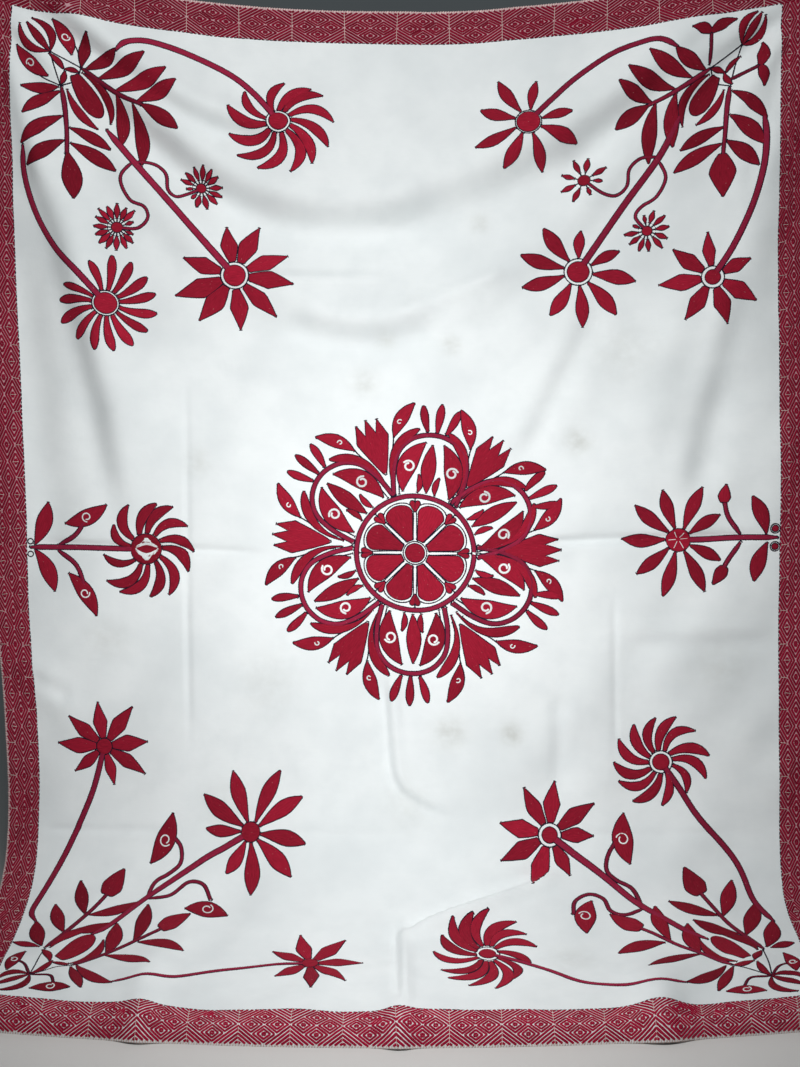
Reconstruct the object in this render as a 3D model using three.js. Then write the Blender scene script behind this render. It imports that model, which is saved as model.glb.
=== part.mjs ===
// A hand-stitched cotton quilt that hangs by its two top corners.
// Its top edge sags between the corners, slack gathers below it in swags, folds run down from
// the corners, and the foot of the cloth sweeps forward until its hem stands on the floor.
// The origin is the middle of the top edge, the face looks along -Y, and +Z is up.

import * as THREE from 'three';

// Driving dimensions, in millimetres, with leans in degrees.
const WIDTH = 1540;
const LENGTH = 2130;
const CLOTH_THICK = 2;

// The border band is dense stitching on the same cloth, which makes its face stand proud.
const BORDER_WIDTH = 62;
const BORDER_RISE = 0.7;
const BORDER_SLOPE = 6;
const HEM_BEAD = 1.5;

// Lean of the cloth towards the viewer, by the length of cloth measured up from the hem.
const PROFILE = [
  { up: 0, lean: 18 },
  { up: 50, lean: 72 },
  { up: 100, lean: 85 },
  { up: 200, lean: 86 },
  { up: 330, lean: 74 },
  { up: 620, lean: 2 },
  { up: 1065, lean: 0.5 },
  { up: LENGTH, lean: 1.8 },
];

// Swags hang from corner to corner, each by its drop below the top edge in the middle.
// A positive height stands towards the viewer and a negative one is a hollow.
const SWAG_REACH = 690;
const SWAG_MIDDLE = -50;
const SWAGS = [
  { drop: 95, spread: 85, height: -9 },
  { drop: 305, spread: 86, height: 20 },
  { drop: 485, spread: 80, height: -19 },
  { drop: 600, spread: 58, height: 13 },
  { drop: 700, spread: 62, height: -6 },
];
const SWAG_TAPER = 1.3;
const SWAG_END_SPREAD = 0.55;

// Straight folds, each from one flat place to another: across from the middle, down from the top.
const FOLDS = [
  { fromAcross: -715, fromDown: 60, toAcross: -445, toDown: 1020, spread: 62, height: 24 },
  { fromAcross: -715, fromDown: 330, toAcross: -650, toDown: 1230, spread: 46, height: -13 },
  { fromAcross: -760, fromDown: 1240, toAcross: -600, toDown: 1430, spread: 36, height: 8 },
  { fromAcross: 735, fromDown: 60, toAcross: 575, toDown: 860, spread: 56, height: 19 },
  { fromAcross: 570, fromDown: 470, toAcross: 440, toDown: 1000, spread: 52, height: 11 },
  { fromAcross: -25, fromDown: 1850, toAcross: 250, toDown: 1690, spread: 30, height: 11 },
];
// Folds that run out through the hem, and lift it there.
const HEM_FOLDS = [
  { fromAcross: -428, fromDown: 1830, toAcross: -428, toDown: LENGTH, spread: 32, height: 12 },
  { fromAcross: 4, fromDown: 1790, toAcross: 4, toDown: LENGTH, spread: 26, height: 15 },
  { fromAcross: 430, fromDown: 1860, toAcross: 446, toDown: LENGTH, spread: 42, height: 15 },
];
// Share of a fold's run over which it rises from the flat cloth, and dies away again.
const FOLD_FADE = 0.35;
const HEM_FOLD_FADE = 0.8;

// Length that the middle of the cloth loses to fine puckers below the sagging top edge.
const SAG = { depth: 76, power: 2.3, length: 1300 };

// The middle of the hem stands further forward than its corners.
const HEM_BULGE = { depth: 74, flat: 250, fade: 450 };

// The side borders roll back a little, away from the viewer, beside the swags and the long folds.
const SIDE_ROLL = { depth: 10, width: 90, endDown: 900, fade: 500 };

// How far each side is drawn in towards the middle, by the distance down from the top edge.
const SIDE_DRAW = [
  { down: 0, left: 0, right: 0 },
  { down: 500, left: -12, right: -2 },
  { down: 1065, left: 14, right: -12 },
  { down: 1550, left: 35, right: -20 },
  { down: 1850, left: 42, right: 4 },
  { down: LENGTH, left: 47, right: 48 },
];
const SIDE_DRAW_POWER = 1.5;

// Grid of the cloth: cells between the border bands, closer where it folds most.
const CELLS_ACROSS = 40;
const CELLS_DOWN = [
  { end: 800, cells: 22 },
  { end: 1500, cells: 12 },
  { end: LENGTH - BORDER_WIDTH - BORDER_SLOPE / 2, cells: 16 },
];
const STEPS_PER_CELL = 4;
const PROFILE_STEP = 2;
const STEEPEST = 0.95;

const HALF_WIDTH = WIDTH / 2;

function clamp(value, low, high) {
  return Math.min(Math.max(value, low), high);
}

// Smooth step from 0 to 1.
function ease(t) {
  const part = clamp(t, 0, 1);
  return part * part * (3 - 2 * part);
}

// Value of one column of a table at a place, eased between the rows.
function lookUp(table, place, key, column) {
  let row = 0;
  while (row < table.length - 2 && place > table[row + 1][key]) {
    row += 1;
  }
  const low = table[row];
  const high = table[row + 1];
  const share = ease((place - low[key]) / (high[key] - low[key]));
  return low[column] + (high[column] - low[column]) * share;
}

function swagRelief(across, down) {
  const reach = Math.max(1 - ((across - SWAG_MIDDLE) / SWAG_REACH) ** 2, 0);
  let relief = 0;
  for (const swag of SWAGS) {
    const spread = swag.spread * (SWAG_END_SPREAD + (1 - SWAG_END_SPREAD) * reach);
    const off = (down - swag.drop * reach) / spread;
    relief += swag.height * reach ** SWAG_TAPER * Math.exp(-off * off);
  }
  return relief;
}

function foldRelief(fold, across, down) {
  const runAcross = fold.toAcross - fold.fromAcross;
  const runDown = fold.toDown - fold.fromDown;
  const run = Math.hypot(runAcross, runDown);
  const awayAcross = across - fold.fromAcross;
  const awayDown = down - fold.fromDown;
  const along = (awayAcross * runAcross + awayDown * runDown) / (run * run);
  const off = (awayAcross * runDown - awayDown * runAcross) / run / fold.spread;
  const throughHem = fold.toDown === LENGTH;
  const fadeIn = ease(along / (throughHem ? HEM_FOLD_FADE : FOLD_FADE));
  const fadeOut = throughHem ? 1 : ease((1 - along) / FOLD_FADE);
  return fold.height * fadeIn * fadeOut * Math.exp(-off * off);
}

function sideRollRelief(across, down) {
  const part = Math.max((Math.abs(across) - HALF_WIDTH + SIDE_ROLL.width) / SIDE_ROLL.width, 0);
  return -SIDE_ROLL.depth * part * part * (1 - ease((down - SIDE_ROLL.endDown) / SIDE_ROLL.fade));
}

// How far the cloth stands off its plain hanging profile, towards the viewer.
function reliefAt(across, down) {
  let relief = swagRelief(across, down) + sideRollRelief(across, down);
  for (const fold of [...FOLDS, ...HEM_FOLDS]) {
    relief += foldRelief(fold, across, down);
  }
  return relief;
}

// Share of the cloth's length that is lost to puckers at a place.
function puckerShare(across, down) {
  const middle = 1 - (Math.abs(across) / HALF_WIDTH) ** SAG.power;
  const level = Math.max(1 - down / SAG.length, 0);
  return (2 * SAG.depth / SAG.length) * middle * level;
}

// The plain hanging profile as a chain of short steps up from the hem.
function hangingProfile() {
  const chain = [{ back: 0, rise: 0, lean: 0 }];
  let back = 0;
  let rise = 0;
  for (let up = 0; up <= LENGTH; up += PROFILE_STEP) {
    const lean = THREE.MathUtils.degToRad(lookUp(PROFILE, up + PROFILE_STEP / 2, 'up', 'lean'));
    chain[chain.length - 1].lean = lean;
    back += PROFILE_STEP * Math.sin(lean);
    rise += PROFILE_STEP * Math.cos(lean);
    chain.push({ back, rise, lean });
  }
  return chain;
}

function profileAt(chain, up) {
  const place = clamp(up / PROFILE_STEP, 0, chain.length - 2);
  const step = Math.floor(place);
  const share = place - step;
  const low = chain[step];
  const high = chain[step + 1];
  return {
    back: THREE.MathUtils.lerp(low.back, high.back, share),
    rise: THREE.MathUtils.lerp(low.rise, high.rise, share),
    lean: THREE.MathUtils.lerp(low.lean, high.lean, share),
  };
}

function spacedLines(start, end, cells) {
  return Array.from({ length: cells + 1 }, (_, i) => start + ((end - start) * i) / cells);
}

// Grid lines over the width: the edge, the border's slope, and even cells between.
function linesAcross() {
  const inner = HALF_WIDTH - BORDER_WIDTH - BORDER_SLOPE / 2;
  const border = [HALF_WIDTH - BORDER_WIDTH + BORDER_SLOPE / 2, HALF_WIDTH - BORDER_WIDTH / 2, HALF_WIDTH];
  const left = border.map((place) => -place).reverse();
  return [...left, ...spacedLines(-inner, inner, CELLS_ACROSS), ...border];
}

function linesDown() {
  const lines = [0, BORDER_WIDTH / 2, BORDER_WIDTH - BORDER_SLOPE / 2, BORDER_WIDTH + BORDER_SLOPE / 2];
  for (const part of CELLS_DOWN) {
    lines.push(...spacedLines(lines.at(-1), part.end, part.cells).slice(1));
  }
  return [...lines, LENGTH - BORDER_WIDTH + BORDER_SLOPE / 2, LENGTH - BORDER_WIDTH / 2, LENGTH];
}

// The same lines with the cells between them divided for the running lengths.
function divided(lines) {
  const fine = [];
  for (let i = 0; i < lines.length - 1; i += 1) {
    fine.push(...spacedLines(lines[i], lines[i + 1], STEPS_PER_CELL).slice(0, -1));
  }
  fine.push(lines.at(-1));
  return fine;
}

// Length of cloth left when its slopes are taken off, as a share.
function levelShare(...slopes) {
  const steep = slopes.reduce((sum, slope) => sum + slope * slope, 0);
  return Math.sqrt(1 - Math.min(steep, STEEPEST));
}

// Length of profile between each place and the hem, by rows and columns of the fine lines.
function profileLengths(relief, across, down) {
  const lengths = down.map(() => new Array(across.length).fill(0));
  for (let row = down.length - 2; row >= 0; row -= 1) {
    const run = down[row + 1] - down[row];
    for (let col = 0; col < across.length; col += 1) {
      const slope = (relief[row + 1][col] - relief[row][col]) / run;
      const share = levelShare(slope) - puckerShare(across[col], (down[row] + down[row + 1]) / 2);
      lengths[row][col] = lengths[row + 1][col] + run * share;
    }
  }
  return lengths;
}

// Sideways place of every point of one row, measured out from the middle of the cloth.
function sidewaysPlaces(reliefRow, lengthRow, across) {
  const places = [0];
  for (let col = 1; col < across.length; col += 1) {
    const run = across[col] - across[col - 1];
    const slope = (reliefRow[col] - reliefRow[col - 1]) / run;
    const fall = (lengthRow[col] - lengthRow[col - 1]) / run;
    places.push(places[col - 1] + run * levelShare(slope, fall));
  }
  const middle = places[(across.length - 1) / 2];
  return places.map((place) => place - middle);
}

function sideDraw(across, down) {
  const side = across < 0 ? 'left' : 'right';
  const draw = lookUp(SIDE_DRAW, down, 'down', side);
  return -Math.sign(across) * draw * (Math.abs(across) / HALF_WIDTH) ** SIDE_DRAW_POWER;
}

function hemBulge(across, up) {
  const middle = 1 - (across / HALF_WIDTH) ** 2;
  return HEM_BULGE.depth * middle * (1 - ease((up - HEM_BULGE.flat) / HEM_BULGE.fade));
}

// Middle surface of the hanging cloth as rows of points, from the top edge to the hem.
function hangingGrid() {
  const across = divided(linesAcross());
  const down = divided(linesDown());
  const relief = down.map((place) => across.map((side) => reliefAt(side, place)));
  const lengths = profileLengths(relief, across, down);
  const chain = hangingProfile();
  const rows = [];
  for (let row = 0; row < down.length; row += STEPS_PER_CELL) {
    const sideways = sidewaysPlaces(relief[row], lengths[row], across);
    const points = [];
    for (let col = 0; col < across.length; col += STEPS_PER_CELL) {
      const up = lengths[row][col];
      const { back, rise, lean } = profileAt(chain, up);
      points.push(new THREE.Vector3(
        sideways[col] + sideDraw(across[col], down[row]),
        back - relief[row][col] * Math.cos(lean) - hemBulge(across[col], up),
        rise + relief[row][col] * Math.sin(lean),
      ));
    }
    rows.push(points);
  }
  const origin = rows[0][(rows[0].length - 1) / 2].clone();
  rows.forEach((points) => points.forEach((point) => point.sub(origin)));
  return rows;
}

// Unit directions of the cloth at a grid point: across, down, and out of its face.
function directionsAt(grid, row, col) {
  const above = grid[Math.max(row - 1, 0)][col];
  const below = grid[Math.min(row + 1, grid.length - 1)][col];
  const left = grid[row][Math.max(col - 1, 0)];
  const right = grid[row][Math.min(col + 1, grid[row].length - 1)];
  const across = right.clone().sub(left).normalize();
  const down = below.clone().sub(above).normalize();
  return { across, down, face: down.clone().cross(across).normalize() };
}

// Whether a place on the grid lies on the raised border band.
function onBorder(across, down) {
  const edge = Math.min(HALF_WIDTH - Math.abs(across), down, LENGTH - down);
  return edge < BORDER_WIDTH;
}

// Grid places around the edge, clockwise as seen from the front.
function edgeLoop(lastRow, lastCol) {
  const loop = [];
  for (let col = 0; col < lastCol; col += 1) loop.push([0, col]);
  for (let row = 0; row < lastRow; row += 1) loop.push([row, lastCol]);
  for (let col = lastCol; col > 0; col -= 1) loop.push([lastRow, col]);
  for (let row = lastRow; row > 0; row -= 1) loop.push([row, 0]);
  return loop;
}

// Closed sheet: a front and a back on the hanging grid, joined by a rounded hem.
// Each cell is split along the way that the folds run on its side.
function quiltGeometry() {
  const grid = hangingGrid();
  const across = linesAcross();
  const down = linesDown();
  const lastRow = grid.length - 1;
  const lastCol = grid[0].length - 1;
  const columns = lastCol + 1;
  const front = [];
  const back = [];
  const hem = [];
  for (let row = 0; row <= lastRow; row += 1) {
    for (let col = 0; col <= lastCol; col += 1) {
      const { face } = directionsAt(grid, row, col);
      const rise = onBorder(across[col], down[row]) ? BORDER_RISE : 0;
      front.push(grid[row][col].clone().addScaledVector(face, CLOTH_THICK / 2 + rise));
      back.push(grid[row][col].clone().addScaledVector(face, -CLOTH_THICK / 2));
    }
  }
  const loop = edgeLoop(lastRow, lastCol);
  for (const [row, col] of loop) {
    const directions = directionsAt(grid, row, col);
    const outward = new THREE.Vector3();
    if (row === 0) outward.sub(directions.down);
    if (row === lastRow) outward.add(directions.down);
    if (col === 0) outward.sub(directions.across);
    if (col === lastCol) outward.add(directions.across);
    hem.push(grid[row][col].clone().addScaledVector(outward.normalize(), HEM_BEAD));
  }

  const index = [];
  const backStart = front.length;
  const hemStart = backStart + back.length;
  for (let row = 0; row < lastRow; row += 1) {
    for (let col = 0; col < lastCol; col += 1) {
      const a = row * columns + col;
      const b = a + columns;
      const corners = across[col] < 0 ? [a, b, b + 1, a + 1] : [b, b + 1, a + 1, a];
      const [p, q, r, s] = corners;
      index.push(p, q, r, p, r, s);
      index.push(backStart + p, backStart + r, backStart + q);
      index.push(backStart + p, backStart + s, backStart + r);
    }
  }
  for (let i = 0; i < loop.length; i += 1) {
    const next = (i + 1) % loop.length;
    const here = loop[i][0] * columns + loop[i][1];
    const there = loop[next][0] * columns + loop[next][1];
    index.push(here, there, hemStart + next, here, hemStart + next, hemStart + i);
    index.push(hemStart + i, hemStart + next, backStart + there);
    index.push(hemStart + i, backStart + there, backStart + here);
  }
  const geometry = new THREE.BufferGeometry().setFromPoints([...front, ...back, ...hem]);
  geometry.setIndex(index);
  geometry.computeVertexNormals();
  return geometry;
}

const cotton = new THREE.MeshStandardMaterial({ color: '#eef0ee', roughness: 0.93, metalness: 0 });

const quiltCloth = new THREE.Mesh(quiltGeometry(), cotton);
quiltCloth.name = 'quilt_cloth';

const quilt = new THREE.Group();
quilt.add(quiltCloth);

export default quilt;
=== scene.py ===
"""A hand-stitched cotton quilt that hangs by its two top corners.

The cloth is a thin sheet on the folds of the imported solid. What is sewn on it is laid out flat, in
millimetres across from the middle and down from the top edge, and is then hung with the cloth.
"""

import math
from typing import NamedTuple

import bpy
import numpy as np
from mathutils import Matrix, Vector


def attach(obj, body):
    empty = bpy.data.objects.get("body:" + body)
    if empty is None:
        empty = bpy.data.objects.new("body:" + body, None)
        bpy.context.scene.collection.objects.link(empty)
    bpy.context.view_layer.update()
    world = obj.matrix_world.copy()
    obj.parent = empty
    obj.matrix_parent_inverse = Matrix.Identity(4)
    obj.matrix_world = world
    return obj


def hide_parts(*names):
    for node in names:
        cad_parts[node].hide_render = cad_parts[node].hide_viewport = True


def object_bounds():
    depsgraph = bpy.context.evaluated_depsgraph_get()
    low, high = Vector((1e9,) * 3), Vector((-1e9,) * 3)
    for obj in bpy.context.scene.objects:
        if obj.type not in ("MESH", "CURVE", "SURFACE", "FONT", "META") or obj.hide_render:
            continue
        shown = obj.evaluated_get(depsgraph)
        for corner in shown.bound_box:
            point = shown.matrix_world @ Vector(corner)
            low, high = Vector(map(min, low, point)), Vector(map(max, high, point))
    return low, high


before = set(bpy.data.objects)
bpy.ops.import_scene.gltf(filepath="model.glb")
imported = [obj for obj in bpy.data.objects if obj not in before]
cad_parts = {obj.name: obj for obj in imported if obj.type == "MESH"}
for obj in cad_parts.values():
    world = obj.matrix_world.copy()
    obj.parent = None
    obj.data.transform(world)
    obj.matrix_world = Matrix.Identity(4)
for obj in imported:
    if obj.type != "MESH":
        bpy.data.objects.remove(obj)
CAD_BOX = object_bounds()

bl_info = {
    "name": "Kantha quilt",
    "version": (1, 0, 0),
    "blender": (4, 5, 0),
    "location": "View3D > Sidebar > Quilt",
    "description": "Hangs an embroidered cotton quilt on the folds of its packed solid",
    "category": "Object",
}

MM = 0.001
BODY = "root"
CLOTH_NODE = "quilt_cloth"
FLAT_UV = "Flat"

# The cloth as the part's source cuts and hangs it, in millimetres and degrees.
WIDTH = 1540.0
LENGTH = 2130.0
HALF_WIDTH = WIDTH / 2
BORDER = 62.0
FIELD_HALF = HALF_WIDTH - BORDER
FIELD_TOP = BORDER
FIELD_FOOT = LENGTH - BORDER

# Lean towards the viewer, by the length of cloth up from the hem: (up, lean).
PROFILE = (
    (0, 18), (50, 72), (100, 85), (200, 86), (330, 74), (620, 2), (1065, 0.5), (LENGTH, 1.8),
)
PROFILE_STEP = 2.0

# Swags from corner to corner: (drop in the middle, spread, height).
SWAGS = ((95, 85, -9), (305, 86, 20), (485, 80, -19), (600, 58, 13), (700, 62, -6))
SWAG_REACH = 690.0
SWAG_MIDDLE = -50.0
SWAG_TAPER = 1.3
SWAG_END_SPREAD = 0.55


class Fold(NamedTuple):
    """A straight ridge, or a trough where its height is negative, between two flat places."""

    from_across: float
    from_down: float
    to_across: float
    to_down: float
    spread: float
    height: float


FOLDS = (
    Fold(-715, 60, -445, 1020, 62, 24),
    Fold(-715, 330, -650, 1230, 46, -13),
    Fold(-760, 1240, -600, 1430, 36, 8),
    Fold(735, 60, 575, 860, 56, 19),
    Fold(570, 470, 440, 1000, 52, 11),
    Fold(-25, 1850, 250, 1690, 30, 11),
)
HEM_FOLDS = (
    Fold(-428, 1830, -428, LENGTH, 32, 12),
    Fold(4, 1790, 4, LENGTH, 26, 11),
    Fold(430, 1860, 446, LENGTH, 42, 15),
)
FOLD_FADE = 0.35
HEM_FOLD_FADE = 0.8
SAG_DEPTH, SAG_POWER, SAG_LENGTH = 76.0, 2.3, 1300.0
BULGE_DEPTH, BULGE_FLAT, BULGE_FADE = 74.0, 250.0, 450.0
ROLL_DEPTH, ROLL_WIDTH, ROLL_END, ROLL_FADE = 10.0, 90.0, 900.0, 500.0

# How far each side is drawn in: (down, left, right).
SIDE_DRAW = (
    (0, 0, 0), (500, -12, -2), (1065, 14, -12), (1550, 35, -20), (1850, 42, 4), (LENGTH, 47, 48),
)
SIDE_DRAW_POWER = 1.5
STEEPEST = 0.95


class Crease(NamedTuple):
    """A soft line along a flat path: a ridge, or a trough where its height is negative.

    A flank is a ridge on the left of the path's run with a trough on the right of it.
    """

    path: tuple
    spread: float
    height: float
    flank: bool = False


# Creases that only this sheet has: lines from folded storage, flanks of the folds, pleats and puckers.
STORAGE_CREASES = (
    Crease(((-390, 720), (-398, 1050), (-404, 1470)), 7, -3),
    Crease(((2, 1770), (6, 1850), (9, 2060)), 12, 6, True),
    Crease(((404, 1150), (407, 1470)), 7, -2.2),
    Crease(((-704, 1060), (-230, 1080)), 9, -6),
    Crease(((220, 1070), (316, 1057), (707, 1046)), 10, -9),
    Crease(((-712, 1603), (-440, 1603)), 8, -3),
    Crease(((-230, 1604), (60, 1606)), 8, -2.8),
    Crease(((260, 1608), (640, 1610)), 8, -2.4),
)
FLANKS = (
    Crease(((-690, 270), (-670, 350), (-617, 495), (-573, 690), (-530, 950), (-510, 1050)), 36, 6, True),
    Crease(
        ((-690, 20), (-601, 74), (-534, 118), (-444, 172), (-385, 213), (-282, 246), (-105, 276)),
        33, 13, True,
    ),
    Crease(((500, 235), (594, 150), (690, 62)), 34, 9, True),
    Crease(
        ((-600, 150), (-454, 249), (-375, 321), (-286, 378), (-166, 413), (-16, 411), (100, 372)),
        42, 12.5, True,
    ),
    Crease(
        ((-100, 418), (-16, 411), (162, 340), (310, 285), (412, 215), (540, 130), (700, 30)),
        52, 11, True,
    ),
    Crease(((-210, 612), (-152, 634), (-61, 649), (24, 636), (80, 614)), 36, 11, True),
    Crease(((640, 520), (615, 617), (540, 951), (528, 1010)), 36, -6, True),
    Crease(((366, 580), (343, 637), (238, 854), (215, 905)), 30, -6, True),
    Crease(((-20, 1290), (-17, 1351), (-2, 1504), (30, 1540), (74, 1560), (120, 1574)), 15, 7, True),
    Crease(((405, 1230), (405, 1640)), 60, -4, True),
    Crease(((410, 1242), (710, 1236)), 22, 3, True),
    Crease(((-10, 1824), (155, 1738), (310, 1662)), 18, -13, True),
)
PLEATS = (
    Crease(((-300, 548), (-241, 545), (-77, 539), (-10, 534)), 12, 6),
    Crease(((-20, 624), (13, 609), (163, 545), (210, 522)), 14, 8),
    Crease(((302, 1340), (302, 1550)), 14, -7),
    Crease(((-716, 1312), (-636, 1354)), 16, -6),
    Crease(((-725, 52), (-500, 150)), 17, -6),
    Crease(((-722, 74), (-545, 240)), 16, 7),
    Crease(((-722, 92), (-590, 320)), 16, -6),
    Crease(((-724, 110), (-640, 400)), 17, 6),
    Crease(((726, 58), (470, 170)), 18, 7),
    Crease(((722, 74), (520, 250)), 17, -7),
    Crease(((722, 92), (575, 330)), 17, 6),
    Crease(((726, 112), (640, 420)), 18, -6),
    Crease(((560, 1900), (680, 1990)), 20, 4),
    Crease(((-640, 1900), (-540, 2060)), 24, 4),
)
CREASE_FADE = 0.18
CREASED_ACROSS = (-398, 0, 404)
CREASED_DOWN = (539, 1062, 1606)
CREASE_REACH = 20.0
CREASE_STEP = 4.0
CREASE_PATH_STEP = 25.0
CREASE_SPREADS = 3

# Uneven slack all over the cloth: (waves across, waves down, turn, height).
SLACK = (
    (2.3, 3.1, 0.4, 2.0), (5.2, 1.7, 2.1, 1.5), (3.4, 7.3, 4.0, 1.2), (8.6, 5.1, 1.2, 0.9),
    (6.1, 11.2, 5.3, 0.7), (13.3, 9.7, 0.9, 0.7), (9.4, 17.8, 3.3, 0.6),
)
# How the slack wanders on the way down and across, in radians, and over what length.
WANDER_DOWN, WANDER_DOWN_RUN = 1.3, 240.0
WANDER_ACROSS, WANDER_ACROSS_RUN = 0.9, 190.0

# Grey marks on the cloth: (across, down, reach, strength).
STAINS = (
    (335, 865, 22, 0.8), (100, 675, 16, 0.7), (215, 1425, 20, 0.9), (100, 1420, 26, 0.7),
    (-60, 750, 24, 0.5), (-20, 665, 18, 0.5), (-375, 905, 26, 0.4), (155, 430, 18, 0.5),
    (-560, 1240, 40, 0.3), (600, 1300, 50, 0.3), (-250, 1330, 60, 0.25), (420, 700, 60, 0.25),
    (300, 1900, 40, 0.3), (-330, 1560, 45, 0.3), (20, 1560, 40, 0.25),
)


def ease(share):
    """Smooth step from 0 to 1."""
    share = np.clip(share, 0.0, 1.0)
    return share * share * (3 - 2 * share)


def look_up(table, place, column):
    """One column of a table at each place, eased between the rows."""
    rows = np.asarray(table, float)
    low = np.clip(np.searchsorted(rows[:, 0], place, side="right") - 1, 0, len(rows) - 2)
    share = ease((place - rows[low, 0]) / (rows[low + 1, 0] - rows[low, 0]))
    return rows[low, column] + (rows[low + 1, column] - rows[low, column]) * share


def fold_relief(fold, across, down):
    """Height of one fold over the flat cloth."""
    run_across = fold.to_across - fold.from_across
    run_down = fold.to_down - fold.from_down
    run = math.hypot(run_across, run_down)
    away_across = across - fold.from_across
    away_down = down - fold.from_down
    along = (away_across * run_across + away_down * run_down) / run**2
    off = (away_across * run_down - away_down * run_across) / run / fold.spread
    if fold.to_down == LENGTH:
        fade = ease(along / HEM_FOLD_FADE)
    else:
        fade = ease(along / FOLD_FADE) * ease((1 - along) / FOLD_FADE)
    return fold.height * fade * np.exp(-off * off)


def spline(points, step=6.0):
    """A smooth line through flat points, with about one point for each step."""
    knots = np.array(points, float)
    knots = np.concatenate([[2 * knots[0] - knots[1]], knots, [2 * knots[-1] - knots[-2]]])
    line = []
    for a, b, c, d in zip(knots, knots[1:], knots[2:], knots[3:]):
        count = max(2, round(np.hypot(*(c - b)) / step))
        t = np.arange(count)[:, None] / count
        square = (2 * a - 5 * b + 4 * c - d) * t**2
        cube = (3 * b - a - 3 * c + d) * t**3
        line.append(0.5 * (2 * b + (c - a) * t + square + cube))
    line.append(knots[-2][None, :])
    return np.concatenate(line)


def line_length(line):
    """Distance along a flat line at each of its points."""
    return np.concatenate([[0], np.cumsum(np.linalg.norm(np.diff(line, axis=0), axis=1))])


def crease_relief(crease, across, down):
    """Height of one crease over the flat cloth."""
    line = spline(crease.path, CREASE_PATH_STEP)
    reach = CREASE_SPREADS * crease.spread
    low, high = line.min(axis=0) - reach, line.max(axis=0) + reach
    near = (across > low[0]) & (across < high[0]) & (down > low[1]) & (down < high[1])
    run = np.diff(line, axis=0)
    length = np.linalg.norm(run, axis=1)
    away = np.stack([across[near], down[near]], axis=1)[:, None, :] - line[:-1]
    share = np.clip((away * run).sum(axis=2) / length**2, 0, 1)
    gap = away - share[:, :, None] * run
    distance = np.linalg.norm(gap, axis=2)
    nearest = (np.arange(len(gap)), distance.argmin(axis=1))
    off = distance[nearest] / crease.spread
    profile = np.exp(-off * off)
    if crease.flank:
        right = np.sign(run[:, 0] * gap[:, :, 1] - run[:, 1] * gap[:, :, 0])[nearest]
        profile = -right * off * math.sqrt(2 * math.e) * profile
    along = (line_length(line)[:-1] + share * length)[nearest] / length.sum()
    fade = ease(along / CREASE_FADE) * ease((1 - along) / CREASE_FADE)
    relief = np.zeros_like(across)
    relief[near] = crease.height * fade * profile
    return relief


def slack_relief(across, down):
    """Low uneven waves, which fade out at the edges of the cloth."""
    inside = ease((HALF_WIDTH - np.abs(across)) / BORDER)
    inside = inside * ease(np.minimum(down, LENGTH - down) / BORDER)
    waves = 0.0
    for turns_across, turns_down, turn, height in SLACK:
        phase = 2 * math.pi * (turns_across * across / WIDTH + turns_down * down / LENGTH) + turn
        phase = phase + WANDER_DOWN * np.sin(down / WANDER_DOWN_RUN + turn)
        phase = phase + WANDER_ACROSS * np.cos(across / WANDER_ACROSS_RUN)
        waves = waves + height * np.sin(phase)
    return inside * waves


def cloth_relief(across, down):
    """How far the folded cloth stands off its plain hanging profile, towards the viewer."""
    reach = np.clip(1 - ((across - SWAG_MIDDLE) / SWAG_REACH) ** 2, 0, None)
    relief = np.zeros_like(across)
    for drop, spread, height in SWAGS:
        off = (down - drop * reach) / (spread * (SWAG_END_SPREAD + (1 - SWAG_END_SPREAD) * reach))
        relief = relief + height * reach**SWAG_TAPER * np.exp(-off * off)
    for fold in FOLDS + HEM_FOLDS:
        relief = relief + fold_relief(fold, across, down)
    part = np.clip((np.abs(across) - HALF_WIDTH + ROLL_WIDTH) / ROLL_WIDTH, 0, None)
    return relief - ROLL_DEPTH * part**2 * (1 - ease((down - ROLL_END) / ROLL_FADE))


def crease_reliefs(across, down):
    """How far the slack and the creases stand off the folds. Their length comes out of the puckers."""
    relief = slack_relief(across, down)
    for crease in STORAGE_CREASES + FLANKS + PLEATS:
        relief = relief + crease_relief(crease, across, down)
    return relief


def grid_lines(start, end, step, creased):
    """Even flat lines, with closer ones at the storage creases."""
    lines = np.linspace(start, end, round((end - start) / step) + 1)
    for place in creased:
        lines = lines[np.abs(lines - place) > CREASE_REACH + step / 2]
        lines = np.append(lines, place + np.arange(-CREASE_REACH, CREASE_REACH + 1, CREASE_STEP))
    return np.sort(lines)


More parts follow.
